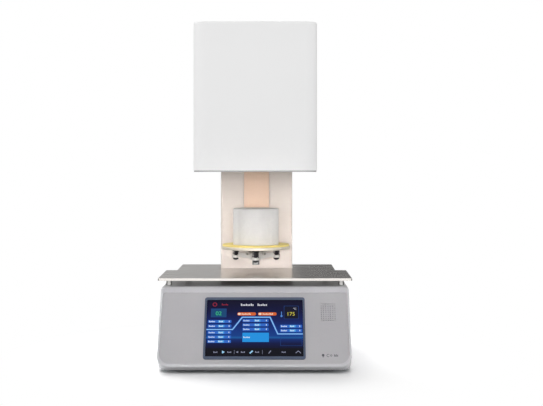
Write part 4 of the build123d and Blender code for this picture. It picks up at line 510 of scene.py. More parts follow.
def box(left: float, right: float, low: float, high: float, corner: float = 0.4) -> Shape:
    """A rectangle with round corners: four quarter circles, joined in turn.

    Args:
        left: its left side in mm.
        right: its right side.
        low: its lower side.
        high: its upper side.
        corner: radius of its corners.

    Returns:
        The shape as one face.
    """
    # A corner is a hair under half of a side at most, so that no two points meet.
    corner = min(corner, (right - left) / 2.001, (high - low) / 2.001)
    points_per_corner = 5
    turn = np.linspace(0, math.pi / 2, points_per_corner)
    centres = [(right, high, -1, -1), (left, high, 1, -1), (left, low, 1, 1), (right, low, -1, 1)]
    rings = [
        np.stack(
            [
                x + inward_x * corner + corner * np.cos(turn + quarter * math.pi / 2),
                y + inward_y * corner + corner * np.sin(turn + quarter * math.pi / 2),
            ],
            axis=1,
        )
        for quarter, (x, y, inward_x, inward_y) in enumerate(centres)
    ]
    points = np.concatenate(rings)
    return Shape(points, [tuple(range(len(points)))])


def ring(x: float, y: float, outer: float, inner: float, start: float = 0.0, turn: float = 360.0) -> Shape:
    """A ring or part of one: points at two radii and the same angles, joined as quads.

    Args:
        x: its centre in mm.
        y: its centre in mm.
        outer: outer radius.
        inner: inner radius, 0 for a disc.
        start: angle in degrees where it starts.
        turn: how far it turns.

    Returns:
        The shape.
    """
    count, pinhole = 24, 0.001
    angle = np.radians(start + np.linspace(0, turn, count + 1))
    circle = np.stack([np.cos(angle), np.sin(angle)], axis=1)
    points = np.concatenate([circle * outer, circle * max(inner, pinhole)]) + (x, y)
    step = np.arange(count)
    quads = np.stack([step, step + 1, step + count + 2, step + count + 1], axis=1)
    return Shape(points, [tuple(q) for q in quads.tolist()])


def polygon(*points: tuple[float, float]) -> Shape:
    """One face over the points given, anticlockwise."""
    return Shape(np.array(points, float), [tuple(range(len(points)))])


def trace(points: Line, width: float) -> Shape:
    """A line of even width: each point moved both ways along the mitre of its two runs.

    Args:
        points: the line's points in mm, in order.
        width: its width in mm.

    Returns:
        The shape as quads.
    """
    line = np.array(points, float)
    runs = np.diff(line, axis=0)
    runs /= np.linalg.norm(runs, axis=1, keepdims=True)
    before, after = np.vstack([runs[:1], runs]), np.vstack([runs, runs[-1:]])
    mitre = before + after
    mitre = np.stack([-mitre[:, 1], mitre[:, 0]], axis=1)
    mitre /= np.linalg.norm(mitre, axis=1, keepdims=True)
    normal = np.stack([-after[:, 1], after[:, 0]], axis=1)
    mitre *= (width / 2 / np.sum(mitre * normal, axis=1))[:, None]
    count = len(line)
    quads = [(n, n + 1, n + 1 + count, n + count) for n in range(count - 1)]
    return Shape(np.concatenate([line - mitre, line + mitre]), quads)


# A word of strokes: the strokes' pitch and their corners' radius over its height, a stroke's width
# over the pitch, and the heights that follow one another, as in small letters.
STROKE_PITCH = 0.62
STROKE_CORNER = 0.12
STROKE_SHARE = 0.66
STROKE_HEIGHTS = (1.0, 0.66, 0.66, 0.9, 0.66, 0.72, 1.0, 0.66)


def strokes(*words: Word) -> list[Shape]:
    """Runs of short upright strokes, which look like small print from a step away.

    Args:
        *words: left, right, middle height and height of each word in mm.

    Returns:
        One shape per stroke.
    """
    found = []
    for left, right, middle, height in words:
        pitch, low = height * STROKE_PITCH, middle - height / 2
        for n in range(max(1, int((right - left) / pitch))):
            start, top = left + n * pitch, low + height * STROKE_HEIGHTS[n % len(STROKE_HEIGHTS)]
            found.append(box(start, start + pitch * STROKE_SHARE, low, top, height * STROKE_CORNER))
    return found


def numerals(words: str, height: float, x: float, y: float) -> Shape:
    """Plain numerals from the built-in outlines, filled, as a mesh centred on a point.

    Args:
        words: figures and unit signs.
        height: height of a figure in mm.
        x: centre in mm.
        y: centre in mm.

    Returns:
        The shape.
    """
    curve = bpy.data.curves.new("numerals", "FONT")
    curve.body, curve.size, curve.align_x, curve.align_y = words, 1.0, "CENTER", "CENTER"
    curve.resolution_u = 4
    helper = set_up("numerals", curve)
    bpy.context.view_layer.update()
    mesh = bpy.data.meshes.new_from_object(helper.evaluated_get(bpy.context.evaluated_depsgraph_get()))
    flat = np.empty(len(mesh.vertices) * 3)
    mesh.vertices.foreach_get("co", flat)
    flat = flat.reshape(-1, 3)[:, :2]
    low, high = flat.min(axis=0), flat.max(axis=0)
    flat = (flat - (low + high) / 2) * height / (high[1] - low[1]) + (x, y)
    faces = [tuple(p.vertices) for p in mesh.polygons]
    bpy.data.objects.remove(helper)
    bpy.data.curves.remove(curve)
    bpy.data.meshes.remove(mesh)
    return Shape(flat, faces)


def new_piece(
    name: str, points: np.ndarray, faces: list[tuple[int, ...]], finish: Finish | Lit, body: str
) -> bpy.types.Object:
    """Makes a mesh piece at the origin, finishes it and lets it ride on a body.

    Args:
        name: name of the piece.
        points: N by 3 points in metres in the shared frame.
        faces: its faces.
        finish: what it is finished with.
        body: the body that carries it.

    Returns:
        The new object.
    """
    mesh = bpy.data.meshes.new(name)
    mesh.from_pydata(points.tolist(), [], faces)
    mesh.materials.append(finish.material())
    made = set_up(name, mesh)
    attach(made, body)
    LOG.info("piece %s: %d points on %s", name, len(points), body)
    return made


def lay(
    name: str, face: Face, proud: float, shapes: list[Shape], finish: Finish | Lit, body: str
) -> bpy.types.Object:
    """Lays flat shapes on a face as one piece.

    Args:
        name: name of the piece.
        face: the face that they lie on.
        proud: their height above it in mm.
        shapes: what is drawn.
        finish: its colour.
        body: the body that carries it.

    Returns:
        The piece.
    """
    starts = np.cumsum([0] + [len(shape.points) for shape in shapes])
    faces = [tuple(int(i + start) for i in f) for shape, start in zip(shapes, starts) for f in shape.faces]
    points = face.place(np.concatenate([shape.points for shape in shapes]), proud)
    return new_piece(name, points, faces, finish, body)


# ------------------------------------------------------------------ sub-assemblies
@dataclass
class SubAssembly:
    """A group of the furnace's parts with the finish of each."""

    finishes: dict[str, Finish] = field(default_factory=dict)

    def dress(self) -> None:
        """Puts each part's finish into the slots of its CAD object."""
        for node, finish in self.finishes.items():
            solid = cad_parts[node]
            if not solid.material_slots:
                solid.data.materials.append(None)
            for place in solid.material_slots:
                place.material = finish.material()
            LOG.info("finish %s: %s", node, finish.name)

    def build(self) -> None:
        """Dresses the parts. Groups with pieces of their own add them."""
        self.dress()


def dressed_in(**parts: Finish) -> dict[str, Finish]:
    """The field of a sub-assembly that names the finish of each of its parts."""
    return field(default_factory=lambda: dict(parts))


@dataclass
class BaseHousing(SubAssembly):
    """The wedge-shaped housing with its control panel, pan and feet.

    The printed signs are drawn in mm from signs_place, which is a point on the fascia.
    """

    finishes: dict[str, Finish] = dressed_in(
        base_housing=SILVER_PAINT, control_panel=PANEL_LACQUER, speaker=DISPLAY_FRAME,
        bottom_pan=ZINC_SHEET, rubber_feet=FOOT_RUBBER, foot_screws=SCREW_NICKEL,
    )
    panel_depth: float = -0.6
    signs_place: tuple[float, float] = (103.6, 20.0)
    disc: Ring = (2.2, 0.5, 2.1, 0.0)
    post: Box = (1.7, 2.7, -3.0, 0.0, 0.4)
    foot: Box = (0.7, 3.7, -3.0, -2.4, 0.4)
    open_ring: Ring = (10.2, 0.0, 2.6, 1.8, 50.0, 260.0)
    small_ring: Ring = (14.6, 0.0, 1.7, 1.0)
    bar_lefts: tuple[float, ...] = (19.0, 20.7, 22.4, 24.1)
    bar_tops: tuple[float, ...] = (2.0, 1.3, 2.0, 1.3)
    bar_low: float = -2.0
    bar_width: float = 1.0

    def build(self) -> None:
        """Dresses the housing and prints three plain signs low on its right.

        They are a disc on a post with a foot, an open ring with a small closed one beside it, and
        four bars, every other one shorter.
        """
        self.dress()
        signs = [ring(*self.disc), box(*self.post), box(*self.foot)]
        signs += [ring(*self.open_ring), ring(*self.small_ring)]
        for left, top in zip(self.bar_lefts, self.bar_tops):
            signs.append(box(left, left + self.bar_width, self.bar_low, top, corner=0.2))
        signs = [sign.moved(*self.signs_place) for sign in signs]
        lay("panel_signs", FASCIA, self.panel_depth + PRINT_LIFT, signs, PRINT_INK, "stand")


@dataclass
class Display(SubAssembly):
    """The touch display: bezel, glass and the lit picture on it.

    Places are in mm, across from the fascia's middle and up from its lower edge. In the bar at the
    display's foot, heights are from the bar's middle line.

    Attributes:
        first_layer: height of the lowest colour above the fascia.
        layer_step: how much higher each next layer lies.
        rows: the value rows side by side: left end, right end and middle heights.
        row_half: half of a row's height.
        label: where a row's word starts and ends, from the row's left end.
        value_place: where a row's value stands, as a share of the row's length.
        value_plate: the plate under the value, from the value's place.
        value_word: the value itself, from the same place.
        unit_word: the row's last word, from the row's right end.
        small_print: height of the smallest words.
    """

    finishes: dict[str, Finish] = dressed_in(
        display_bezel=BEZEL_ABS, touch_glass=BLACK_GLASS, lcd_module=DISPLAY_FRAME,
    )
    first_layer: float = 0.54
    layer_step: float = 0.05
    half_width: float = 75.6
    low: float = 18.2
    high: float = 116.4
    bar_top: float = 31.5
    screen_corner: float = 0.8
    curve: Line = ((-75.2, 64.0), (-34.4, 64.0), (-19.4, 85.6), (24.2, 85.6), (36.2, 56.3), (75.2, 56.3))
    glow_width: float = 3.6
    curve_width: float = 1.5
    rows: tuple[tuple[float, float, tuple[float, ...]], ...] = (
        (-73.0, -36.4, (78.1, 70.0, 58.8, 51.0, 43.3)),
        (-19.0, 21.8, (79.7, 72.1, 64.5)),
        (39.8, 74.0, (69.7, 62.2)),
    )
    row_half: float = 2.5
    row_corner: float = 1.0
    label: Span = (1.6, 12.5)
    value_place: float = 0.56
    value_plate: Box = (-4.6, 5.2, -1.9, 1.9, 0.6)
    value_word: Span = (-3.2, 4.2)
    unit_word: Span = (-4.0, -1.2)
    small_print: float = 2.6
    bright_box: Box = (-18.8, 22.4, 42.4, 58.4, 0.6)
    box_word: Word = (-17.2, -6.2, 50.6, 2.8)
    title: tuple[Word, ...] = ((-22.0, -0.8, 107.9, 4.2), (4.4, 21.2, 107.9, 4.2))
    stop_ring: Ring = (-63.2, 108.3, 3.6, 2.3)
    stop_word: Word = (-52.2, -41.0, 108.3, 3.4)
    reading_frames: tuple[Box, ...] = ((-69.0, -44.4, 85.4, 101.0, 0.6), (46.0, 69.3, 82.4, 105.9, 0.6))
    outline: Line = ((40.4, 36.0), (73.6, 36.0), (73.6, 51.0), (40.4, 51.0), (40.4, 36.0))
    outline_width: float = 0.6
    green_box: Box = (-68.2, -45.2, 86.2, 100.2, 0.4)
    dark_box: Box = (46.6, 68.7, 83.0, 105.3, 0.4)
    green_figures: Figures = ("02", 6.8, -56.8, 92.4)
    yellow_figures: Figures = ("175", 6.2, 57.4, 91.4)
    unit: Figures = ("°C", 3.6, 63.0, 100.4)
    pills: tuple[Box, ...] = ((-27.3, 2.0, 88.6, 94.2, 2.6), (5.2, 34.4, 88.6, 94.2, 2.6))
    pill_dots: tuple[Box, ...] = ((-26.6, -22.0, 89.6, 93.2, 1.6), (6.0, 10.6, 89.6, 93.2, 1.6))
    pill_words: tuple[Word, ...] = ((-20.5, -4.0, 91.4, 3.0), (12.5, 30.0, 91.4, 3.0))
    gauge_bulb: Ring = (42.1, 87.6, 1.7, 0.0)
    gauge_stem: Box = (41.5, 42.7, 88.0, 95.6, 0.6)
    bar_middle: float = 25.2
    bar_words: tuple[Span, ...] = ((-63.0, -55.6), (-41.6, -34.6), (-20.6, -14.0), (1.2, 8.4), (42.2, 49.2))
    bar_slash: Line = ((22.0, -2.2), (25.6, 2.4))
    slash_width: float = 1.2
    bar_chevron: Line = ((63.6, -1.8), (67.6, 2.0), (71.6, -1.8))
    chevron_width: float = 1.0
    bar_arrow: Line = ((-28.6, 0.0), (-25.0, -1.6), (-25.0, 1.6))
    bar_rules: tuple[Span, ...] = ((12.2, 12.6), (-31.2, -30.8))
    rule_reach: float = 3.4
    play_arrow: Line = ((-49.8, -2.6), (-45.4, 0.0), (-49.8, 2.6))
    bright_slash: Line = ((-7.0, -2.2), (-2.6, 2.2))
    bright_width: float = 2.2

    def show(self, name: str, layer: int, shapes: list[Shape], tint: Tint) -> None:
        """Lays one colour of the picture on the glass.

        Args:
            name: what the piece is called, after the word display.
            layer: how many layers lie under it.
            shapes: what is drawn in this colour.
            tint: the colour.
        """
        proud = self.first_layer + layer * self.layer_step
        finish = Lit.of("lit_display_" + name, tint)
        lay("display_" + name, FASCIA, proud, shapes, finish, "stand")

    def build(self) -> None:
        """Dresses the display and lays its picture on the glass, layer by layer."""
        self.dress()
        left, right, corner = -self.half_width, self.half_width, self.screen_corner
        self.show("ground", 0, [box(left, right, self.low, self.high, corner)], Tint.GROUND)
        self.show("bar", 1, [box(left, right, self.low, self.bar_top, corner)], Tint.BAR)
        self.show("glow", 1, [trace(self.curve, self.glow_width)], Tint.GLOW)
        self.show("curve", 2, [trace(self.curve, self.curve_width)], Tint.CURVE)
        self.build_rows()
        self.build_readings()
        self.build_bar()

    def build_rows(self) -> None:
        """The value rows: a blue strip with a word, a value and a unit in lighter strokes."""
        strips, plates, words = [], [], []
        small = self.small_print
        for left, right, heights in self.rows:
            value = left + self.value_place * (right - left)
            plate_left, plate_right, below, above, corner = self.value_plate
            for y in heights:
                strips.append(box(left, right, y - self.row_half, y + self.row_half, self.row_corner))
                plates.append(box(value + plate_left, value + plate_right, y + below, y + above, corner))
                spans = ((left, self.label), (value, self.value_word), (right, self.unit_word))
                words += strokes(*((at + start, at + end, y, small) for at, (start, end) in spans))
        self.show("rows", 3, strips, Tint.ROW)
        self.show("values", 4, plates, Tint.VALUE)
        self.show("box", 3, [box(*self.bright_box)], Tint.BRIGHT_BOX)
        self.show("words", 5, words + strokes(self.box_word), Tint.WORD)

    def build_readings(self) -> None:
        """The head line, the two readings, the warm pills and the thermometer."""
        self.show("title", 2, strokes(*self.title), Tint.TITLE)
        self.show("stop", 2, [ring(*self.stop_ring)] + strokes(self.stop_word), Tint.STOP)
        frames = [box(*sides) for sides in self.reading_frames] + [trace(self.outline, self.outline_width)]
        self.show("frames", 2, frames, Tint.FRAME)
        self.show("green_box", 3, [box(*self.green_box)], Tint.TEAL_BOX)
        self.show("dark_box", 3, [box(*self.dark_box)], Tint.DARK_BOX)
        self.show("green_figures", 4, [numerals(*self.green_figures)], Tint.GREEN)
        self.show("yellow_figures", 4, [numerals(*self.yellow_figures)], Tint.YELLOW)
        self.show("unit", 4, [numerals(*self.unit)], Tint.UNIT)
        self.show("pills", 3, [box(*sides) for sides in self.pills], Tint.PILL)
        dots = [box(*sides) for sides in self.pill_dots]
        self.show("pill_words", 4, dots + strokes(*self.pill_words), Tint.PILL_WORD)
        self.show("gauge", 3, [ring(*self.gauge_bulb), box(*self.gauge_stem)], Tint.GAUGE)

    def build_bar(self) -> None:
        """The row of plain signs along the display's lower edge, drawn about the bar's middle line."""
        dim = strokes(*((left, right, 0.0, self.small_print) for left, right in self.bar_words))
        dim.append(trace(self.bar_slash, self.slash_width))
        dim.append(trace(self.bar_chevron, self.chevron_width))
        dim.append(polygon(*self.bar_arrow))
        dim += [box(left, right, -self.rule_reach, self.rule_reach, 0.1) for left, right in self.bar_rules]
        bright = [polygon(*self.play_arrow), trace(self.bright_slash, self.bright_width)]
        for name, signs, tint in (("signs", dim, Tint.SIGN), ("bright_signs", bright, Tint.BRIGHT_SIGN)):
            self.show(name, 2, [sign.moved(0.0, self.bar_middle) for sign in signs], tint)


@dataclass
class WorkPlate(SubAssembly):
    """The folded steel plate on its posts."""

    finishes: dict[str, Finish] = dressed_in(
        work_plate=PLATE_STEEL, plate_standoffs=POLISHED_STEEL,
    )


@dataclass
class Column(SubAssembly):
    """The column with its guide, cover and angles."""

    finishes: dict[str, Finish] = dressed_in(
        column_shell=COLUMN_STEEL, guide_channel=COLUMN_STEEL, column_rear_cover=COLUMN_STEEL,
        column_angles=ZINC_SHEET, cover_screws=SCREW_NICKEL,
    )


@dataclass
class Lift(SubAssembly):
    """The slide, arm and carriage with the screw drive that moves them."""

    finishes: dict[str, Finish] = dressed_in(
        slider_bar=DRAWN_BAR, table_arm=MILLED_STEEL, lift_screws=SCREW_NICKEL, carriage_block=ALUMINIUM,
        carriage_bushes=BRONZE, guide_rods=GROUND_SHAFT, rod_blocks=ALUMINIUM, lead_nut=BRONZE,
        lead_screw=GROUND_SHAFT, thrust_block=ALUMINIUM, lift_motor=MOTOR_ENAMEL,
        motor_shaft=GROUND_SHAFT, motor_bracket=ALUMINIUM, shaft_coupling=ALUMINIUM,
    )


@dataclass
class FiringTable(SubAssembly):
    """The sprung table: spider, springs, flange, gasket and the pedestal on it."""

    finishes: dict[str, Finish] = dressed_in(
        spider=MILLED_STEEL, table_springs=SPRING_STEEL, hub_knob=POLISHED_STEEL,
        flange_studs=SPRING_STEEL, table_flange=TURNED_FLANGE, table_gasket=SILICONE,
        firing_pedestal=CERAMIC,
    )


@dataclass
class Head(SubAssembly):
    """The white head with the muffle, its insulation, heater and probe."""

    finishes: dict[str, Finish] = dressed_in(
        head_shell=POWDER_COAT, head_rear_cover=POWDER_COAT, head_trim_plate=TRIM_SHEET_WITH_PAINTED_SHADE,
        head_bottom_plate=MUFFLE_SHEET, seal_seat=TURNED_FLANGE, muffle_case=MUFFLE_SHEET,
        insulation_block=FIBRE_BLOCK, quartz_liner=QUARTZ, heater_coil=HEATER_ALLOY,
        heater_leads=HEATER_ALLOY, thermocouple=PROBE_SHEATH,
    )


@dataclass
class VacuumLine(SubAssembly):
    """The elbow on the muffle, the hose down the column and the port at the back.

    The hose is a smooth curve with the route's corners as its control points. Long runs carry one
    more point near a corner, as far from it as the next point is on its other side.
    """

    finishes: dict[str, Finish] = dressed_in(
        vacuum_elbow=SCREW_NICKEL, vacuum_port=SCREW_NICKEL, vacuum_hose=HOSE_RUBBER,
    )
    diameter: float = 7.0
    length: float = 551.0
    route: tuple[Point, ...] = (
        (-30.0, 22.0, 485.0), (-30.0, 44.0, 485.0), (-54.5, 68.5, 485.0), (-54.5, 131.0, 485.0),
        (-54.5, 131.0, 422.5), (-54.5, 131.0, 87.0), (-54.5, 131.0, 60.0), (-54.5, 158.0, 60.0),
    )

    def build(self) -> None:
        """Dresses the fittings and draws the hose along its route."""
        self.dress()
        curve = bpy.data.curves.new("vacuum_tube", "CURVE")
        curve.dimensions, curve.resolution_u, curve.bevel_resolution = "3D", 16, 4
        curve.bevel_depth, curve.use_fill_caps = self.diameter / 2 * MM, True
        line = curve.splines.new("NURBS")
        line.points.add(len(self.route) - 1)
        spots = np.concatenate([np.array(self.route) * MM, np.ones((len(self.route), 1))], axis=1)
        line.points.foreach_set("co", spots.ravel())
        line.order_u = 3
        line.use_endpoint_u = True
        curve.materials.append(HOSE_RUBBER.material())
        hose = set_up("vacuum_tube", curve)
        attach(hose, "stand")
        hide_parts("vacuum_hose")
        LOG.info("piece vacuum_tube: %d control points on stand", len(self.route))


@dataclass
class Electrics(SubAssembly):
    """The supply, power stage and control board inside the base."""

    finishes: dict[str, Finish] = dressed_in(
        power_supply=ZINC_SHEET, heat_sink=ALUMINIUM, control_board=SOLDER_MASK,
    )


@dataclass
class RearFittings(SubAssembly):
    """Fan, mains inlet, switch and fuses in the back wall.

    Attributes:
        switch_centre: the rocker's pivot.
        tilt: how far the rocker stands tilted at rest, in degrees.
        valley: height of the rocker's face above the pivot, at the pivot.
        crest: its height at its ends.
        reach: from the pivot to an end.
        mark_out: from the pivot to the middle of a mark.
        mark_half: half of a mark's height.
        bar_half: half of the on bar's width.
        ring_inner: inner radius of the off ring.
    """

    finishes: dict[str, Finish] = dressed_in(
        fan_frame=FITTING_NYLON, fan_rotor=FITTING_NYLON, power_inlet=FITTING_NYLON,
        switch_frame=FITTING_NYLON, switch_rocker=FITTING_NYLON, fuse_holders=FITTING_NYLON,
    )
    switch_centre: Point = (-60.0, 163.5, 35.0)
    tilt: float = 10.0
    valley: float = 3.0
    crest: float = 4.0
    reach: float = 8.0
    mark_out: float = 4.6
    mark_half: float = 1.9
    bar_half: float = 0.4
    ring_inner: float = 1.3

    def half(self, side: int) -> Face:
        """The sloping face of one half of the rocker.

        In the rocker's own measures a half rises from the valley at the pivot to the crest at its
        reach. It is tilted about X, and then turned so that it looks out of the back.

        Args:
            side: 1 for the lower half, -1 for the upper one.

        Returns:
            The face, measured from the half's middle.
        """
        slope = (self.crest - self.valley) / self.reach
        up = np.array([0.0, side, slope]) / math.hypot(1, slope)
        out = np.array([0.0, -side * slope, 1.0]) / math.hypot(1, slope)
        middle = np.array([0.0, side * self.mark_out, self.valley + slope * self.mark_out])
        a = math.radians(self.tilt)
        tilt = np.array([[1, 0, 0], [0, math.cos(a), -math.sin(a)], [0, math.sin(a), math.cos(a)]])
        turn = np.array([[1, 0, 0], [0, 0, 1], [0, -1, 0]]) @ tilt
        up, out, middle = turn @ up, turn @ out, turn @ middle + np.array(self.switch_centre)
        return Face(tuple(middle), tuple(np.cross(up, out)), tuple(up), tuple(out))

    def build(self) -> None:
        """Dresses the fittings and stamps the off ring and the on bar into the rocker."""
        self.dress()
        width, height = self.bar_half, self.mark_half
        on = [box(-width, width, -height, height, corner=0.1)]
        off = [ring(0, 0, self.mark_half, self.ring_inner)]
        lay("switch_on_mark", self.half(1), PRINT_LIFT, on, WHITE_INK, "rocker")
        lay("switch_off_mark", self.half(-1), PRINT_LIFT, off, WHITE_INK, "rocker")


# ------------------------------------------------------------------ studio
@dataclass(frozen=True)
class Softbox:
    """One soft light.

    Attributes:
        name: name of the light.
        place: where it stands, in metres.
        target: what it points at.
        size: its width and height in metres.
        power: its power in watts.
        spread: how wide a grid lets its beam open, in degrees.
        glossy: whether gloss shows it.
        on_floor: whether it lights the floor, and otherwise a flag keeps it off.
    """

    name: str
    place: Point
    target: Point
    size: tuple[float, float]
    power: float
    spread: float = 180.0
    glossy: bool = True
    on_floor: bool = False

    def build(self, flag: bpy.types.Collection) -> None:
        """Makes the light, turned so that it faces its target and unseen by the camera.

        Args:
            flag: the collection that keeps a light off the floor.
        """
        data = bpy.data.lights.new(self.name, "AREA")
        data.shape, data.size, data.size_y, data.energy = "RECTANGLE", self.size[0], self.size[1], self.power
        data.spread = math.radians(self.spread)
        light = set_up(self.name, data)
        light.location = self.place
        away = Vector(self.place) - Vector(self.target)
        light.rotation_euler = away.to_track_quat("Z", "Y").to_euler()
        light.visible_camera, light.visible_glossy = False, self.glossy
        if not self.on_floor:
            light.light_linking.receiver_collection = flag


def seen(tree: bpy.types.NodeTree) -> bpy.types.NodeSocket:
    """1 for rays of the camera, of gloss and through glass, and 0 for those that only light."""
    path = add(tree, "LightPath").outputs
    first = add(tree, "Math", {0: path["Is Camera Ray"], 1: path["Is Glossy Ray"]}, operation="MAXIMUM")
    both = add(tree, "Math", {0: first.outputs[0], 1: path["Is Transmission Ray"]}, operation="MAXIMUM")
    return both.outputs[0]


@dataclass
class Studio:
    """Pale floor, white background, soft lights and the camera at the photograph's viewpoint.

    Attributes:
        camera_place: where the camera stands, in metres.
        focal_px: focal length in pixels of the photograph.
        horizon_px: how far below the photograph's upper edge the horizon lies.
        frame_px: the photograph's width and height.
        sensor: width of the camera's sensor in mm.
        floor_radius: how far the floor reaches, in metres.
        floor_drop: how far it lies below the feet, so that no two faces share a place.
        floor_grid: how many rings and spokes its mesh has.
        floor_blend: where it starts to turn into plain white and where it has, in metres.
        floor_shade: its own colour near the furnace, of which two layers are added.
        floor_bounce: its colour for the light that it throws back.
        ambient: strength of the world's light.
        lights: the soft lights.
        cards: name, lower corner, upper corner and grey of each card that gloss sees.
    """

    camera_place: Point = (0.0264, -1.862, 0.312)
    focal_px: float = 1100.0
    horizon_px: float = 170.0
    frame_px: tuple[int, int] = (543, 406)
    sensor: float = 36.0
    floor_radius: float = 7.0
    floor_drop: float = 0.0002
    floor_grid: tuple[int, int] = (12, 64)
    floor_blend: tuple[float, float] = (0.2, 0.42)
    floor_shade: str = "#F2F2F2"
    floor_bounce: str = "#D0D0D0"
    ambient: float = 0.38
    lights: tuple[Softbox, ...] = (
        Softbox("front_softbox", (0.0, -3.2, 0.8), (0.0, 0.0, 0.3), (4.2, 1.6), 34.0),
        Softbox(
            "low_softbox", (0.0, -2.6, 0.15), (0.0, 0.0, 0.13), (1.2, 0.2), 0.34, spread=8.0, glossy=False
        ),
        Softbox("left_softbox", (-2.0, -0.8, 1.3), (0.0, 0.0, 0.25), (2.0, 1.6), 18.0),
        Softbox("right_softbox", (2.0, -0.8, 1.3), (0.0, 0.0, 0.25), (2.0, 1.6), 16.0),
        Softbox(
            "back_softbox", (-0.6, 1.8, 1.75), (0.0, 0.0, 0.1), (2.6, 1.0), 52.0, glossy=False, on_floor=True
        ),
    )
    cards: tuple[tuple[str, Point, Point, str], ...] = (
        ("left_card", (-0.6, -0.3, 0.0), (-0.6, 0.5, 0.2), "#202020"),
        ("right_card", (0.6, -0.3, 0.0), (0.6, 0.5, 0.2), "#202020"),
        ("rear_left_card", (-2.4, 2.2, 0.0), (0.1, 2.2, 1.6), "#B4B4B4"),
        ("rear_right_card", (0.1, 2.2, 0.0), (2.4, 2.2, 1.6), "#6E6E6E"),
        ("gap_card", (-0.3, 0.24, 0.1), (0.3, 0.24, 0.137), "#FFFFFF"),
    )

    def build(self) -> None:
        """Builds the camera, the world, the floor and the lights."""
        self.build_camera()
        self.build_world()
        flag = self.build_flag(self.build_floor())
        for light in self.lights:
            light.build(flag)
        for card in self.cards:
            self.build_card(*card)
        bpy.context.scene.view_settings.view_transform = "Standard"

    def build_camera(self) -> None:
        """A level camera that looks along +Y, with the lens moved down to put the horizon in place."""
        data = bpy.data.cameras.new("viewpoint")
        data.sensor_width, data.lens = self.sensor, self.focal_px * self.sensor / self.frame_px[0]
        data.shift_y = (self.horizon_px - self.frame_px[1] / 2) / self.frame_px[0]
        data.clip_start, data.clip_end = 0.01, 100
        camera = set_up("viewpoint", data)
        camera.location, camera.rotation_euler = self.camera_place, (math.pi / 2, 0, 0)
        bpy.context.scene.camera = camera

    def build_world(self) -> None:
        """A world that looks white and lights as an even grey."""
        world = bpy.data.worlds.new("white_studio")
        bpy.context.scene.world = world
        world.use_nodes = True
        tree = world.node_tree
        tree.nodes.clear()
        glow = add(tree, "Background", None, {"Color": linear("#FFFFFF"), "Strength": self.ambient})
        white = add(tree, "Background", None, {"Color": linear("#FFFFFF"), "Strength": 1.0})
        both = add(tree, "MixShader", {0: seen(tree), 1: glow.outputs[0], 2: white.outputs[0]})
        add(tree, "OutputWorld", {"Surface": both.outputs[0]})

    def build_flag(self, floor: bpy.types.Object) -> bpy.types.Collection:
        """A light-linking collection that shuts the floor out, so one light alone casts the shadow."""
        flag = bpy.data.collections.new("floor_flag")
        flag.objects.link(floor)
        flag.collection_objects[0].light_linking.link_state = "EXCLUDE"
        return flag

    def floor_material(self) -> bpy.types.Material:
        """A matt white floor that shows the furnace's shadow near it.

        There it shows its own shade: two matt layers, added, bring the lit floor up to white for the
        camera alone. Further out it turns into plain white.

        Returns:
            The material.
        """
        made, tree = new_material("matt_white_floor")
        shade = add(tree, "BsdfDiffuse", None, {"Color": linear(self.floor_shade)})
        near = add(tree, "AddShader", {0: shade.outputs[0], 1: shade.outputs[0]})
        white = add(tree, "Emission", None, {"Color": linear("#FFFFFF"), "Strength": 1.0})
        spot = add(tree, "TexCoord").outputs["Object"]
        reach = add(tree, "VectorMath", {0: spot}, operation="LENGTH")
        span = {"From Min": self.floor_blend[0], "From Max": self.floor_blend[1]}
        out = add(tree, "MapRange", {0: reach.outputs["Value"]}, span, interpolation_type="SMOOTHSTEP")
        looks = add(tree, "MixShader", {0: out.outputs[0], 1: near.outputs[0], 2: white.outputs[0]})
        plain = add(tree, "BsdfDiffuse", None, {"Color": linear(self.floor_bounce)})
        both = add(tree, "MixShader", {0: seen(tree), 1: plain.outputs[0], 2: looks.outputs[0]})
        add(tree, "OutputMaterial", {"Surface": both.outputs[0]})
        return made

    def build_floor(self) -> bpy.types.Object:
        """A round floor: rings of points whose radii grow with the square of their number.

        Returns:
            The floor, closed by a fan of triangles at its centre.
        """
        rings, spokes = self.floor_grid
        radius = self.floor_radius * np.linspace(0, 1, rings + 1)[1:] ** 2
        angle = np.linspace(0, 2 * math.pi, spokes, endpoint=False)
        across, along = radius[:, None] * np.cos(angle), radius[:, None] * np.sin(angle)
        grid = np.stack([across, along, np.full((rings, spokes), -self.floor_drop)], axis=2).reshape(-1, 3)
        points = np.concatenate([grid, [[0, 0, -self.floor_drop]]])
        step = np.arange(spokes)
        after = (step + 1) % spokes
        inner = spokes * np.arange(rings - 1)[:, None]
        outer = inner + spokes
        quads = np.stack([inner + step, outer + step, outer + after, inner + after], axis=2).reshape(-1, 4)
        fans = np.stack([step, after, np.full(spokes, len(grid))], axis=1)
        mesh = bpy.data.meshes.new("floor")
        mesh.from_pydata(points.tolist(), [], quads.tolist() + fans.tolist())
        mesh.materials.append(self.floor_material())
        floor = set_up("floor", mesh)
        return floor

    def build_card(self, name: str, low: Point, high: Point, shade: str) -> None:
        """Stands up an even card that only gloss sees, for bright metal to mirror.

        Args:
            name: name of the card.
            low: one lower corner, in metres.
            high: the upper corner across from it.
            shade: its grey, sRGB hex.
        """
        points = [low, (high[0], high[1], low[2]), high, (low[0], low[1], high[2])]
        mesh = bpy.data.meshes.new(name)
        mesh.from_pydata(points, [], [(0, 1, 2, 3)])
        made, tree = new_material(name + "_felt")
        felt = add(tree, "Emission", None, {"Color": linear(shade), "Strength": 1.0})
        add(tree, "OutputMaterial", {"Surface": felt.outputs[0]})
        mesh.materials.append(made)
        card = set_up(name, mesh)
        card.visible_camera = card.visible_diffuse = card.visible_shadow = card.visible_transmission = False


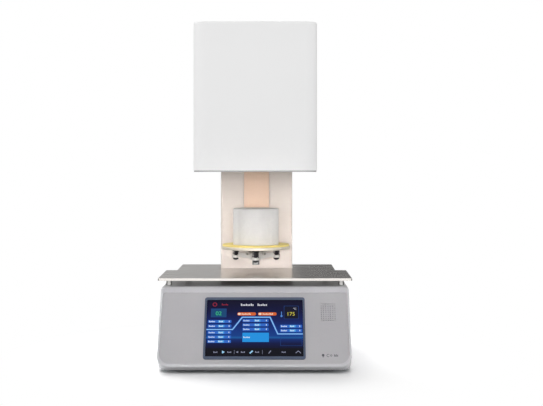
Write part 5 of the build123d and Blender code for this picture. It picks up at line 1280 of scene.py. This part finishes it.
def main() -> None:
    """Builds the studio and each sub-assembly in turn."""
    logging.basicConfig(level=logging.INFO, format="%(message)s")
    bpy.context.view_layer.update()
    Studio().build()
    groups = (
        VacuumLine(), BaseHousing(), Display(), WorkPlate(), Column(), Lift(), FiringTable(), Head(),
        Electrics(), RearFittings(),
    )
    for group in groups:
        LOG.info("group %s", type(group).__name__)
        group.build()


if __name__ == "__main__":
    main()
